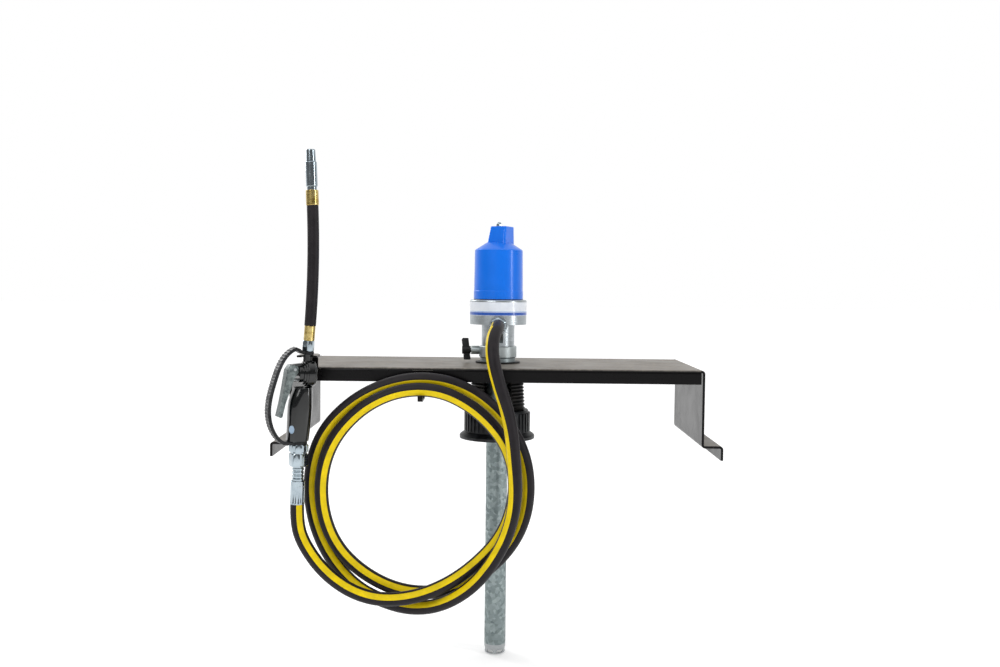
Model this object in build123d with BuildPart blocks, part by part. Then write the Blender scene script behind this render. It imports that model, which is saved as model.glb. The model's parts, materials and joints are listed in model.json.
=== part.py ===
"""Air-operated gear oil pump on a bridge bracket, with its delivery hose and control gun.

Origin: pump axis, at the level of the bridge's feet.  +X right, +Y to the rear, +Z up.  Millimetres.
"""
from build123d import *
from math import cos, pi, radians, sin, tan
import os

os.makedirs("parts", exist_ok=True)

# ---------------------------------------------------------------- driving dimensions
# bridge bracket, bent from one sheet
PLATE = 4.0
BRIDGE_HALF_SPAN = 340.0
BRIDGE_DEPTH = 260.0
BRIDGE_TOP = 128.0
FOOT_REACH = 372.0
LIP_DROP = 20.0
FLANGE_DROP = 23.0
BEND = 6.0
FRONT = -BRIDGE_DEPTH / 2

# air motor
BASE_Z = 196.0
BASE_TOP = 239.0
BASE_R = 49.7
COVER_BASE_R = 43.3
COVER_TOP_R = 42.0
COVER_TOP = 327.0
SHOULDER_TOP = 339.0
BOSS_TOP = 367.0
COVER_WALL = 3.5
CYLINDER_R = 32.0
CYLINDER_WALL = 4.0
CYLINDER_TOP = 313.0
STROKE = 50.0
PISTON_Z = 245.0
PISTON_THICK = 12.0
ROD_R = 7.0
RUNNING = 0.05

# oil end
NECK_R = 28.8
NECK_Z = 158.0
OUTLET_Z = 196.0
OUTLET_R = 15.8
OUTLET_FACE = -66.0
TUBE_R = 19.0
TUBE_BORE = 16.0
TUBE_END = -372.0
PLUNGER_Z = -330.0

# bung adaptor
COLLAR_R = 33.0
SPIGOT_R = 29.8
SCREW_Z = 150.0

# hose and gun
HOSE_D = 22.0
GUN_LEAN = 1.5
GUN_YAW = 30.0
OUTLET_LEAN = 4.4
NOZZLE_LEAN = -2.2
GUN_FOOT = (-317.5, -178.0, -88.0)
OUTLET_OFFSET = 10.2
HEX_AF = 27.0
VALVE_AXIS = 199.0
PIVOT_U = -12.0
PIVOT_W = 216.0
EXTENSION_LENGTH = 190.0


def save(builder, name):
    """Label a finished piece and write its STEP file."""
    builder.part.label = name
    export_step(builder.part, f"parts/{name}.step")


# ---------------------------------------------------------------- bridge bracket
FLANGE_REACH = BRIDGE_HALF_SPAN - BEND
LEG_LINE = BRIDGE_HALF_SPAN - PLATE / 2
LIP_LINE = FOOT_REACH - PLATE / 2
TOP_LINE = BRIDGE_TOP - PLATE / 2

with BuildPart() as mounting_bridge:
    # top sheet, legs, feet and the lips that hook over the rims
    with BuildSketch(Plane.XZ) as bridge_profile:
        with BuildLine() as bridge_line:
            FilletPolyline(
                (-LIP_LINE, -LIP_DROP), (-LIP_LINE, PLATE / 2), (-LEG_LINE, PLATE / 2),
                (-LEG_LINE, TOP_LINE), (LEG_LINE, TOP_LINE), (LEG_LINE, PLATE / 2),
                (LIP_LINE, PLATE / 2), (LIP_LINE, -LIP_DROP),
                radius=BEND - PLATE / 2)
        trace(line_width=PLATE)
    extrude(amount=BRIDGE_DEPTH / 2, both=True)
    # the top sheet's long edges are cut back and bent down as two flanges
    for side in (-1, 1):
        with BuildSketch(Plane.XY.offset(BRIDGE_TOP - 2 * PLATE)):
            with Locations((0, side * (BRIDGE_DEPTH - BEND) / 2)):
                Rectangle(2 * FLANGE_REACH, BEND)
        extrude(amount=3 * PLATE, mode=Mode.SUBTRACT)
    for side in (-1, 1):
        with BuildSketch(Plane.YZ):
            with BuildLine():
                flange_line = side * (BRIDGE_DEPTH - PLATE) / 2
                FilletPolyline(
                    (side * (BRIDGE_DEPTH / 2 - 3 * BEND), TOP_LINE), (flange_line, TOP_LINE),
                    (flange_line, BRIDGE_TOP - FLANGE_DROP), radius=BEND - PLATE / 2)
            trace(line_width=PLATE)
        extrude(amount=FLANGE_REACH, both=True)
    with Locations((0, 0, BRIDGE_TOP)):
        Hole(radius=SPIGOT_R + 0.4, depth=2 * PLATE)
    # holes for the gun hanger's and the hose hook's screws in the front flange
    with Locations(Plane((0, FRONT, 0), x_dir=(1, 0, 0), z_dir=(0, -1, 0))):
        with Locations((-316, 116), (-296, 116), (-132, 116), (-112, 116)):
            Hole(radius=2.7, depth=2 * PLATE)
save(mounting_bridge, "mounting_bridge")

# ---------------------------------------------------------------- base casting
MUFFLER_INNER = 31.0
MUFFLER_OUTER = 45.0

with BuildPart() as base_casting:
    with BuildSketch(Plane.XY.offset(BASE_Z)):
        Circle(BASE_R)
    extrude(amount=BASE_TOP - BASE_Z)
    fillet(base_casting.edges().group_by(Axis.Z)[-1], 3)
    with BuildSketch(Plane.XY.offset(BASE_Z)):
        Circle(MUFFLER_OUTER)
        Circle(MUFFLER_INNER, mode=Mode.SUBTRACT)
    extrude(amount=26, mode=Mode.SUBTRACT)
    with BuildSketch(Plane.XY.offset(NECK_Z)):
        Circle(NECK_R)
    extrude(amount=BASE_Z - NECK_Z + 5)
    # oil outlet boss, with a rib that runs down into the neck
    outlet_plane = Plane((0, OUTLET_FACE, OUTLET_Z), x_dir=(1, 0, 0), z_dir=(0, 1, 0))
    with BuildSketch(outlet_plane):
        Circle(OUTLET_R)
    extrude(amount=-OUTLET_FACE - 22)
    with BuildSketch(Plane.YZ):
        with BuildLine():
            Polyline((-48, OUTLET_Z), (-48, OUTLET_Z - 12), (-NECK_R, NECK_Z + 6), (-20, NECK_Z + 6),
                     (-20, OUTLET_Z), close=True)
        make_face()
    extrude(amount=9, both=True)
    # oil chamber, rod passage and seat of the rod bush
    with Locations((0, 0, NECK_Z)):
        Hole(radius=TUBE_R, depth=18)
    with BuildSketch(Plane.XY.offset(NECK_Z + 18)):
        Circle(TUBE_BORE)
    extrude(amount=32, mode=Mode.SUBTRACT)
    with BuildSketch(Plane.XY.offset(NECK_Z + 18)):
        Circle(9.5)
    extrude(amount=BASE_TOP - NECK_Z - 18, mode=Mode.SUBTRACT)
    with BuildSketch(Plane.XY.offset(216)):
        Circle(13)
    extrude(amount=BASE_TOP - 216, mode=Mode.SUBTRACT)
    with BuildSketch(outlet_plane):
        Circle(9.3)
    extrude(amount=16, mode=Mode.SUBTRACT)
    with BuildSketch(outlet_plane):
        Circle(7)
    extrude(amount=-OUTLET_FACE - 10, mode=Mode.SUBTRACT)
    # air inlet port at the rear, turned up into the motor's floor
    with BuildSketch(Plane((0, BASE_R, 228), x_dir=(1, 0, 0), z_dir=(0, -1, 0))):
        Circle(6.6)
    extrude(amount=14, mode=Mode.SUBTRACT)
save(base_casting, "base_casting")

with BuildPart() as exhaust_muffler:
    with BuildSketch(Plane.XY.offset(BASE_Z + 3)):
        Circle(MUFFLER_OUTER - 0.3)
        Circle(MUFFLER_INNER + 0.3, mode=Mode.SUBTRACT)
        with Locations((0, -40)):
            Rectangle(2 * OUTLET_R + 2, 30, mode=Mode.SUBTRACT)
    extrude(amount=20)
save(exhaust_muffler, "exhaust_muffler")

with BuildPart() as label_band:
    with BuildSketch(Plane.XY.offset(212)):
        Circle(BASE_R + 0.35)
        Circle(BASE_R, mode=Mode.SUBTRACT)
        with Locations((0, BASE_R)):
            Rectangle(24, 20, mode=Mode.SUBTRACT)
    extrude(amount=23)
save(label_band, "label_band")

with BuildPart() as air_inlet_adaptor:
    inlet_plane = Plane((0, BASE_R - 12, 228), x_dir=(1, 0, 0), z_dir=(0, 1, 0))
    with BuildSketch(inlet_plane):
        Circle(6.6)
    extrude(amount=12)
    with BuildSketch(inlet_plane.offset(12)):
        RegularPolygon(radius=8.5, side_count=6, major_radius=False)
    extrude(amount=20)
    with BuildSketch(inlet_plane):
        Circle(3.5)
    extrude(amount=18, mode=Mode.SUBTRACT)
    with BuildSketch(inlet_plane.offset(18)):
        Circle(5.9)
    extrude(amount=14, mode=Mode.SUBTRACT)
save(air_inlet_adaptor, "air_inlet_adaptor")

# ---------------------------------------------------------------- motor cover
GASKET_TOP = BASE_TOP + 1.2
SKIRT_TOP = 254.0
BOSS_TURN = -25.0

with BuildPart() as motor_cover:
    with BuildSketch(Plane.XZ):
        with BuildLine():
            Polyline((0, GASKET_TOP), (COVER_BASE_R, GASKET_TOP), (COVER_BASE_R, SKIRT_TOP),
                     (COVER_BASE_R - 0.5, SKIRT_TOP + 0.8), (COVER_TOP_R, COVER_TOP - 2),
                     (COVER_TOP_R - 2, COVER_TOP), (21, SHOULDER_TOP), (0, SHOULDER_TOP), close=True)
        make_face()
    revolve(axis=Axis.Z)
    # valve boss, a drafted block turned on the shoulder
    with BuildSketch(Plane.XY.offset(COVER_TOP - 4)):
        with Locations(Location((2, 0), BOSS_TURN)):
            RectangleRounded(37, 42.8, 4)
    with BuildSketch(Plane.XY.offset(BOSS_TOP)):
        with Locations(Location((5.7, 0), BOSS_TURN)):
            RectangleRounded(30, 35, 3.5)
    loft()
    fillet(motor_cover.edges().group_by(Axis.Z)[-1], 2)
    # hollow for the cylinder, the head and the valve block
    with BuildSketch(Plane.XZ):
        with BuildLine():
            Polyline((0, GASKET_TOP), (COVER_BASE_R - COVER_WALL, GASKET_TOP),
                     (COVER_TOP_R - COVER_WALL, COVER_TOP - 3), (17, SHOULDER_TOP - 4),
                     (13, SHOULDER_TOP - 4), (13, BOSS_TOP - 12), (0, BOSS_TOP - 12), close=True)
        make_face()
    revolve(axis=Axis.Z, mode=Mode.SUBTRACT)
    with Locations((0, 0, BOSS_TOP)):
        Hole(radius=3.3, depth=20)
save(motor_cover, "motor_cover")

with BuildPart() as cover_gasket:
    with BuildSketch(Plane.XY.offset(BASE_TOP)):
        Circle(COVER_BASE_R)
        Circle(CYLINDER_R + CYLINDER_WALL + 0.8, mode=Mode.SUBTRACT)
    extrude(amount=GASKET_TOP - BASE_TOP)
save(cover_gasket, "cover_gasket")

with BuildPart() as cover_stud:
    with BuildSketch(Plane.XY.offset(346)):
        Circle(3)
    extrude(amount=26)
save(cover_stud, "cover_stud")

with BuildPart() as cover_nut:
    with BuildSketch(Plane.XY.offset(BOSS_TOP)):
        RegularPolygon(radius=4.6, side_count=6, major_radius=False)
    extrude(amount=5)
    with BuildSketch(Plane.XY.offset(BOSS_TOP + 5)):
        Circle(4.2)
    extrude(amount=3)
    fillet(cover_nut.edges().group_by(Axis.Z)[-1], 2.5)
    with BuildSketch(Plane.XY.offset(BOSS_TOP)):
        Circle(3)
    extrude(amount=5, mode=Mode.SUBTRACT)
save(cover_nut, "cover_nut")

# ---------------------------------------------------------------- air motor, inside the cover
with BuildPart() as motor_cylinder:
    with BuildSketch(Plane.XY.offset(BASE_TOP)):
        Circle(CYLINDER_R + CYLINDER_WALL)
        Circle(CYLINDER_R + RUNNING, mode=Mode.SUBTRACT)
    extrude(amount=CYLINDER_TOP - BASE_TOP)
save(motor_cylinder, "motor_cylinder")

with BuildPart() as cylinder_head:
    with BuildSketch(Plane.XY.offset(CYLINDER_TOP)):
        Circle(CYLINDER_R + CYLINDER_WALL)
    extrude(amount=8)
    with BuildSketch(Plane.XY.offset(CYLINDER_TOP + 8)):
        Circle(12)
    extrude(amount=29)
    with BuildSketch(Plane.XY.offset(CYLINDER_TOP + 4)):
        Circle(5 + RUNNING)
    extrude(amount=29, mode=Mode.SUBTRACT)
    with BuildSketch(Plane.XY.offset(CYLINDER_TOP)):
        Circle(2.4)
    extrude(amount=4, mode=Mode.SUBTRACT)
    with BuildSketch(Plane.XY.offset(346)):
        Circle(3)
    extrude(amount=4, mode=Mode.SUBTRACT)
    # grooves for the two seals, one round the head and one under the valve
    with BuildSketch(Plane.XY.offset(CYLINDER_TOP)):
        Circle(CYLINDER_R + 3)
        Circle(CYLINDER_R + 1, mode=Mode.SUBTRACT)
    extrude(amount=1.5, mode=Mode.SUBTRACT)
save(cylinder_head, "cylinder_head")

with BuildPart() as cylinder_seal:
    with BuildSketch(Plane.XY.offset(CYLINDER_TOP)):
        Circle(CYLINDER_R + 2.9)
        Circle(CYLINDER_R + 1.1, mode=Mode.SUBTRACT)
    extrude(amount=1.5)
save(cylinder_seal, "cylinder_seal")

with BuildPart() as valve_spool:
    with BuildSketch(Plane.XY.offset(CYLINDER_TOP + 4)):
        Circle(5)
    extrude(amount=20)
    for land in (6, 13):
        with BuildSketch(Plane.XY.offset(CYLINDER_TOP + 4 + land)):
            Circle(5)
            Circle(3.2, mode=Mode.SUBTRACT)
        extrude(amount=3, mode=Mode.SUBTRACT)
save(valve_spool, "valve_spool")

with BuildPart() as trip_rod:
    with BuildSketch(Plane.XY.offset(PISTON_Z + 3)):
        Circle(2)
    extrude(amount=CYLINDER_TOP + 4 - PISTON_Z - 3)
save(trip_rod, "trip_rod")

with BuildPart() as air_piston:
    with BuildSketch(Plane.XY.offset(PISTON_Z)):
        Circle(CYLINDER_R - 0.5)
        Circle(ROD_R - 1, mode=Mode.SUBTRACT)
    extrude(amount=PISTON_THICK)
    with BuildSketch(Plane.XY.offset(PISTON_Z + 4)):
        Circle(CYLINDER_R)
        Circle(CYLINDER_R - 3, mode=Mode.SUBTRACT)
    extrude(amount=4, mode=Mode.SUBTRACT)
save(air_piston, "air_piston")

with BuildPart() as piston_seal:
    with BuildSketch(Plane.XY.offset(PISTON_Z + 4.1)):
        Circle(CYLINDER_R)
        Circle(CYLINDER_R - 2.9, mode=Mode.SUBTRACT)
    extrude(amount=3.8)
save(piston_seal, "piston_seal")

with BuildPart() as pump_rod:
    with BuildSketch(Plane.XY.offset(PLUNGER_Z + 20)):
        Circle(ROD_R)
    extrude(amount=PISTON_Z - PLUNGER_Z - 20)
    with BuildSketch(Plane.XY.offset(PISTON_Z)):
        Circle(ROD_R - 1)
    extrude(amount=PISTON_THICK + 3)
    with BuildSketch(Plane.XY.offset(PLUNGER_Z + 10)):
        Circle(5)
    extrude(amount=10)
    # bore that the trip rod runs in
    with Locations((0, 0, PISTON_Z + PISTON_THICK + 3)):
        Hole(radius=2.6, depth=STROKE + 22)
save(pump_rod, "pump_rod")

with BuildPart() as rod_nut:
    with BuildSketch(Plane.XY.offset(PISTON_Z + PISTON_THICK)):
        RegularPolygon(radius=9, side_count=6, major_radius=False)
        Circle(ROD_R - 1, mode=Mode.SUBTRACT)
    extrude(amount=3)
save(rod_nut, "rod_nut")

with BuildPart() as rod_bush:
    with BuildSketch(Plane.XY.offset(222)):
        Circle(13)
        Circle(ROD_R + RUNNING, mode=Mode.SUBTRACT)
    extrude(amount=BASE_TOP - 222)
save(rod_bush, "rod_bush")

with BuildPart() as rod_seal:
    with BuildSketch(Plane.XY.offset(216)):
        Circle(13)
        Circle(ROD_R + RUNNING, mode=Mode.SUBTRACT)
    extrude(amount=6)
save(rod_seal, "rod_seal")

# ---------------------------------------------------------------- suction tube and its valves
with BuildPart() as suction_tube:
    with BuildSketch(Plane.XY.offset(TUBE_END)):
        Circle(TUBE_R)
        Circle(TUBE_BORE + RUNNING, mode=Mode.SUBTRACT)
    extrude(amount=NECK_Z + 18 - TUBE_END)
save(suction_tube, "suction_tube")

with BuildPart() as pump_plunger:
    with BuildSketch(Plane.XY.offset(PLUNGER_Z)):
        Circle(TUBE_BORE - 0.5)
    extrude(amount=20)
    with BuildSketch(Plane.XY.offset(PLUNGER_Z + 8)):
        Circle(TUBE_BORE)
        Circle(TUBE_BORE - 2.5, mode=Mode.SUBTRACT)
    extrude(amount=5, mode=Mode.SUBTRACT)
    with BuildSketch(Plane.XY.offset(PLUNGER_Z + 10)):
        Circle(5)
    extrude(amount=10, mode=Mode.SUBTRACT)
    # ball chamber open below, with a seat of three ports round the rod's end
    with BuildSketch(Plane.XY.offset(PLUNGER_Z)):
        Circle(6.5)
    extrude(amount=10, mode=Mode.SUBTRACT)
    with BuildSketch(Plane.XY.offset(PLUNGER_Z + 8)):
        with PolarLocations(8, 3):
            Circle(2.2)
    extrude(amount=12, mode=Mode.SUBTRACT)
save(pump_plunger, "pump_plunger")

with BuildPart() as plunger_seal:
    with BuildSketch(Plane.XY.offset(PLUNGER_Z + 8.1)):
        Circle(TUBE_BORE)
        Circle(TUBE_BORE - 2.4, mode=Mode.SUBTRACT)
    extrude(amount=4.8)
save(plunger_seal, "plunger_seal")

with BuildPart() as plunger_valve_seat:
    with BuildSketch(Plane.XY.offset(PLUNGER_Z - 3)):
        Circle(TUBE_BORE - 1)
        Circle(3.2, mode=Mode.SUBTRACT)
    extrude(amount=3)
save(plunger_valve_seat, "plunger_valve_seat")

with BuildPart() as plunger_ball:
    with Locations((0, 0, PLUNGER_Z + 3.3)):
        Sphere(4.5)
save(plunger_ball, "plunger_ball")

FOOT_TOP = TUBE_END + 26

with BuildPart() as foot_valve_body:
    with BuildSketch(Plane.XY.offset(TUBE_END - 6)):
        Circle(TUBE_R)
    extrude(amount=6)
    with BuildSketch(Plane.XY.offset(TUBE_END)):
        Circle(TUBE_BORE)
    extrude(amount=FOOT_TOP - TUBE_END)
    with BuildSketch(Plane.XY.offset(TUBE_END - 6)):
        Circle(6)
    extrude(amount=32, mode=Mode.SUBTRACT)
    with BuildSketch(Plane.XY.offset(TUBE_END + 4)):
        Circle(10.5)
    extrude(amount=22, mode=Mode.SUBTRACT)
    with BuildSketch(Plane((0, 0, TUBE_END + 23), x_dir=(0, 1, 0), z_dir=(1, 0, 0))):
        Circle(1.5)
    extrude(amount=TUBE_BORE, both=True, mode=Mode.SUBTRACT)
save(foot_valve_body, "foot_valve_body")

with BuildPart() as foot_valve_ball:
    with Locations((0, 0, TUBE_END + 4 + 5.6)):
        Sphere(8.0)
save(foot_valve_ball, "foot_valve_ball")

with BuildPart() as ball_stop_pin:
    with BuildSketch(Plane((0, 0, TUBE_END + 23), x_dir=(0, 1, 0), z_dir=(1, 0, 0))):
        Circle(1.5)
    extrude(amount=TUBE_BORE, both=True)
save(ball_stop_pin, "ball_stop_pin")

with BuildPart() as suction_strainer:
    with BuildSketch(Plane.XY.offset(TUBE_END - 16)):
        Circle(TUBE_R - 1)
        Circle(TUBE_R - 3, mode=Mode.SUBTRACT)
    extrude(amount=10)
    for turn in range(6):
        heading = radians(60 * turn)
        slot_plane = Plane((0, 0, TUBE_END - 12), x_dir=(-sin(heading), cos(heading), 0),
                           z_dir=(cos(heading), sin(heading), 0))
        with BuildSketch(slot_plane):
            SlotOverall(12, 4)
        extrude(amount=TUBE_R, mode=Mode.SUBTRACT)
save(suction_strainer, "suction_strainer")

# ---------------------------------------------------------------- bung adaptor
with BuildPart() as bung_adaptor:
    with BuildSketch(Plane.XZ):
        with BuildLine():
            Polyline((TUBE_R + 0.3, 98), (SPIGOT_R, 98), (SPIGOT_R, 130.6), (30.5, 130.6), (30.5, 137),
                     (COLLAR_R, 139), (COLLAR_R, NECK_Z - 1.5), (COLLAR_R - 1.2, NECK_Z - 0.3),
                     (TUBE_R + 0.3, NECK_Z - 0.3), close=True)
        make_face()
    revolve(axis=Axis.Z)
    # screw boss on the left
    screw_plane = Plane((-COLLAR_R - 14, 0, SCREW_Z), x_dir=(0, 1, 0), z_dir=(1, 0, 0))
    with BuildSketch(screw_plane):
        Circle(7.5)
    extrude(amount=22)
    with BuildSketch(screw_plane):
        Circle(4.06)
    extrude(amount=30, mode=Mode.SUBTRACT)
save(bung_adaptor, "bung_adaptor")

with BuildPart() as adaptor_washer:
    with BuildSketch(Plane.XY.offset(BRIDGE_TOP)):
        Circle(39)
        Circle(SPIGOT_R, mode=Mode.SUBTRACT)
    extrude(amount=2.6)
save(adaptor_washer, "adaptor_washer")

with BuildPart() as adaptor_locknut:
    with BuildSketch(Plane.XY.offset(BRIDGE_TOP - PLATE - 11)):
        Circle(38)
        Circle(SPIGOT_R, mode=Mode.SUBTRACT)
        with PolarLocations(38, 6):
            Circle(4, mode=Mode.SUBTRACT)
    extrude(amount=11)
save(adaptor_locknut, "adaptor_locknut")

with BuildPart() as clamp_pad:
    with BuildSketch(Plane((-TUBE_R - 3.1, 0, SCREW_Z), x_dir=(0, 1, 0), z_dir=(1, 0, 0))):
        Circle(4)
    extrude(amount=3)
save(clamp_pad, "clamp_pad")

with BuildPart() as wing_screw:
    with BuildSketch(Plane((-COLLAR_R - 20, 0, SCREW_Z), x_dir=(0, 1, 0), z_dir=(1, 0, 0))):
        Circle(4)
    extrude(amount=COLLAR_R + 20 - TUBE_R - 3.2)
    # hub and two leaning wings
    with BuildSketch(Plane((-COLLAR_R - 30, 0, SCREW_Z), x_dir=(0, 1, 0), z_dir=(1, 0, 0))):
        Circle(7)
    extrude(amount=15)
    with BuildSketch(Plane.XZ):
        with BuildLine():
            Polyline((-COLLAR_R - 17, SCREW_Z - 3), (-COLLAR_R - 14.5, SCREW_Z - 17),
                     (-COLLAR_R - 27, SCREW_Z - 17), (-COLLAR_R - 28, SCREW_Z),
                     (-COLLAR_R - 31, SCREW_Z + 18), (-COLLAR_R - 29, SCREW_Z + 21),
                     (-COLLAR_R - 19, SCREW_Z + 21), (-COLLAR_R - 17, SCREW_Z + 4), close=True)
        make_face()
        fillet(vertices(), 1.2)
    extrude(amount=4, both=True)
save(wing_screw, "wing_screw")

# ---------------------------------------------------------------- dust boot under the bridge
BOOT_TOP = BRIDGE_TOP - PLATE - 0.3
BOOT_FOOT = 46.0
BOOT_TOP_R = 45.0
BOOT_FOOT_R = 49.0
CONVOLUTIONS = 13
BOOT_SLOT = 64.0

with BuildPart() as tube_bellows:
    pitch = (BOOT_TOP - BOOT_FOOT) / CONVOLUTIONS
    outer = []
    for fold in range(CONVOLUTIONS):
        fold_r = BOOT_TOP_R + (BOOT_FOOT_R - BOOT_TOP_R) * fold / (CONVOLUTIONS - 1)
        fold_z = BOOT_TOP - fold * pitch
        outer += [(fold_r - 3, fold_z), (fold_r, fold_z - pitch / 2)]
    outer.append((BOOT_FOOT_R - 3, BOOT_FOOT))
    inner = [(r - 2, z) for r, z in reversed(outer)]
    with BuildSketch(Plane.XZ):
        with BuildLine():
            Polyline(*outer, *inner, close=True)
        make_face()
    revolve(axis=Axis.Z)
    # slot at the front, left open so that the boot can be put round the tube
    with BuildSketch(Plane.XY.offset(BOOT_FOOT - 1)):
        with BuildLine():
            slot_edge = 70 * tan(radians(BOOT_SLOT / 2))
            Polyline((0, 0), (-slot_edge, -70), (slot_edge, -70), close=True)
        make_face()
    extrude(amount=BOOT_TOP - BOOT_FOOT + 2, mode=Mode.SUBTRACT)
save(tube_bellows, "tube_bellows")

RIBS = 40
COLLAR_FOOT = -4.0

with BuildPart() as boot_collar:
    with BuildSketch(Plane.XZ):
        with BuildLine():
            Polyline((44, BOOT_FOOT - 0.2), (54, BOOT_FOOT - 0.2), (55, BOOT_FOOT - 3), (57, 8), (64, 3),
                     (66, 1), (66, COLLAR_FOOT), (50, COLLAR_FOOT), (50, 40), (44, 42), close=True)
        make_face()
    revolve(axis=Axis.Z)
    with BuildSketch(Plane.XY.offset(9)):
        with PolarLocations(56, RIBS):
            Rectangle(4, 4.2)
    extrude(amount=32)
save(boot_collar, "boot_collar")

# ---------------------------------------------------------------- pump outlet fittings
with BuildPart() as outlet_adaptor:
    with BuildSketch(outlet_plane):
        Circle(9.3)
    extrude(amount=14)
    with BuildSketch(outlet_plane.offset(-8)):
        RegularPolygon(radius=12, side_count=6, major_radius=False)
    extrude(amount=8)
    with BuildSketch(outlet_plane.offset(-16)):
        Circle(8)
    extrude(amount=30)
    with BuildSketch(outlet_plane.offset(-16)):
        Circle(5.5)
    extrude(amount=30, mode=Mode.SUBTRACT)
save(outlet_adaptor, "outlet_adaptor")

with BuildPart() as outlet_nut:
    with BuildSketch(outlet_plane.offset(-20)):
        RegularPolygon(radius=HEX_AF / 2 - 1, side_count=6, major_radius=False)
    extrude(amount=11.8)
    with BuildSketch(outlet_plane.offset(-16)):
        Circle(8)
    extrude(amount=8, mode=Mode.SUBTRACT)
    with BuildSketch(outlet_plane.offset(-20)):
        Circle(6)
    extrude(amount=6, mode=Mode.SUBTRACT)
save(outlet_nut, "outlet_nut")

HOSE_START = -100.0
FERRULE_R = 12.2

with BuildPart() as pump_end_ferrule:
    ferrule_plane = Plane((0, HOSE_START, OUTLET_Z), x_dir=(1, 0, 0), z_dir=(0, 1, 0))
    with BuildSketch(ferrule_plane):
        Circle(FERRULE_R)
    extrude(amount=OUTLET_FACE - 20 - HOSE_START)
    with BuildSketch(ferrule_plane.offset(OUTLET_FACE - 20 - HOSE_START)):
        Circle(6)
    extrude(amount=4)
    with BuildSketch(ferrule_plane):
        Circle(4.5)
    extrude(amount=20, mode=Mode.SUBTRACT)
save(pump_end_ferrule, "pump_end_ferrule")

# ---------------------------------------------------------------- delivery hose
# Hand-laid route: out of the pump, down in front of the bridge, two and a half loose turns, up to the gun.
hose_route = [
    (0, -100, 196), (0, -133, 196), (-8, -164, 181), (-9, -184, 153), (1, -192, 112), (20, -196, 56),
    (28, -198, -9), (31, -198, -73), (20, -197, -128), (-5, -194, -177), (-39, -190, -219),
    (-87, -173, -252), (-136, -166, -260), (-184, -160, -249), (-227, -156, -228), (-266, -153, -186),
    (-292, -151, -134),
    (-303, -150, -77), (-299, -150, -23), (-282, -150, 23), (-249, -150, 62), (-204, -149, 93),
    (-149, -148, 111), (-93, -148, 111), (-43, -148, 94), (-1, -150, 63), (30, -151, 23), (48, -152, -21),
    (53, -152, -69), (46, -152, -116), (26, -152, -158), (-8, -150, -196), (-52, -149, -226),
    (-106, -149, -240), (-163, -152, -233), (-217, -158, -203), (-256, -163, -158), (-276, -166, -105),
    (-279, -167, -50), (-267, -167, -3), (-241, -167, 38), (-200, -167, 73), (-150, -167, 93),
    (-97, -167, 94), (-49, -168, 76), (-9, -170, 43), (19, -171, 4), (31, -172, -44), (27, -172, -94),
    (10, -173, -137), (-20, -174, -173), (-60, -176, -206), (-104, -188, -226), (-148, -193, -236),
    (-194, -193, -236), (-237, -193, -220), (-276, -191, -190), (-306, -184, -151), (-318.3, -178, -119),
    GUN_FOOT]


def corner_radii(route):
    """Radius of each arc: 0.45 of the shorter run, over the tangent of half the turn."""
    radii = []
    for before, corner, after in zip(route, route[1:], route[2:]):
        run_in = Vector(corner) - Vector(before)
        run_out = Vector(after) - Vector(corner)
        half_turn = radians(run_in.get_angle(run_out) / 2)
        radii.append(0.45 * min(run_in.length, run_out.length) / tan(half_turn))
    return radii


hose_radii = corner_radii(hose_route)
print("hose radii", [round(r) for r in hose_radii])

with BuildPart() as delivery_hose:
    with BuildLine() as hose_line:
        FilletPolyline(*hose_route, radius=hose_radii)
    with BuildSketch(Plane(hose_line.line @ 0, z_dir=hose_line.line % 0)):
        Circle(HOSE_D / 2)
    sweep()
hose_length = sum(edge.length for edge in hose_line.edges())
hose_section = pi * (HOSE_D / 2) ** 2
print("hose length", round(hose_length), "volume over section x length",
      round(delivery_hose.part.volume / (hose_section * hose_length), 4))
save(delivery_hose, "delivery_hose")

# ---------------------------------------------------------------- control gun
def lean_direction(degrees):
    """Unit direction leaning to +X from the vertical."""
    return (sin(radians(degrees)), 0, cos(radians(degrees)))


# gun: u along x (trigger at -u, valve cap at +u), v along y, w up the inlet's axis
gun_heading = (cos(radians(GUN_YAW)), sin(radians(GUN_YAW)), 0)
gun = Plane(GUN_FOOT, x_dir=gun_heading, z_dir=lean_direction(GUN_LEAN))
# the gun's middle plane: u and w, looking along +v
gun_side = Plane(gun.origin, x_dir=gun.x_dir, z_dir=-gun.y_dir)
FERRULE_TOP = 38.0
TAIL_TOP = 61.0
NUT_TOP = 82.0
INLET_TOP = 96.4
GRIP_FOOT = 101.4
GRIP_TOP = 187.0
HEAD_R = 22.0
NECK_TOP = 239.6
GUARD_WIDTH = 18.0
GUARD_THICK = 5.0


def valve_plane(u, w=VALVE_AXIS):
    """Plane square to the valve's axis, at u, facing +u."""
    return Plane(gun.from_local_coords((u, 0, w)), x_dir=gun.y_dir, z_dir=gun.x_dir)


with BuildPart() as gun_end_ferrule:
    with BuildSketch(gun):
        Circle(HOSE_D / 2 + 0.4)
    extrude(amount=FERRULE_TOP)
    # eight crimped flats, and the groove where the tail is gripped
    with BuildSketch(gun.offset(4)):
        Circle(HOSE_D)
        RegularPolygon(radius=HOSE_D / 2 - 0.2, side_count=8, major_radius=False, mode=Mode.SUBTRACT)
    extrude(amount=FERRULE_TOP - 12, mode=Mode.SUBTRACT)
    with BuildSketch(gun.offset(FERRULE_TOP)):
        Circle(9)
    extrude(amount=3)
    with BuildSketch(gun.offset(FERRULE_TOP + 3)):
        Circle(8)
    extrude(amount=TAIL_TOP - FERRULE_TOP - 3.3)
    for ring in range(3):
        with BuildSketch(gun.offset(FERRULE_TOP + 5 + 6 * ring)):
            Circle(9.2)
        extrude(amount=3)
    with BuildSketch(gun):
        Circle(5)
    extrude(amount=TAIL_TOP, mode=Mode.SUBTRACT)
save(gun_end_ferrule, "gun_end_ferrule")

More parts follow.
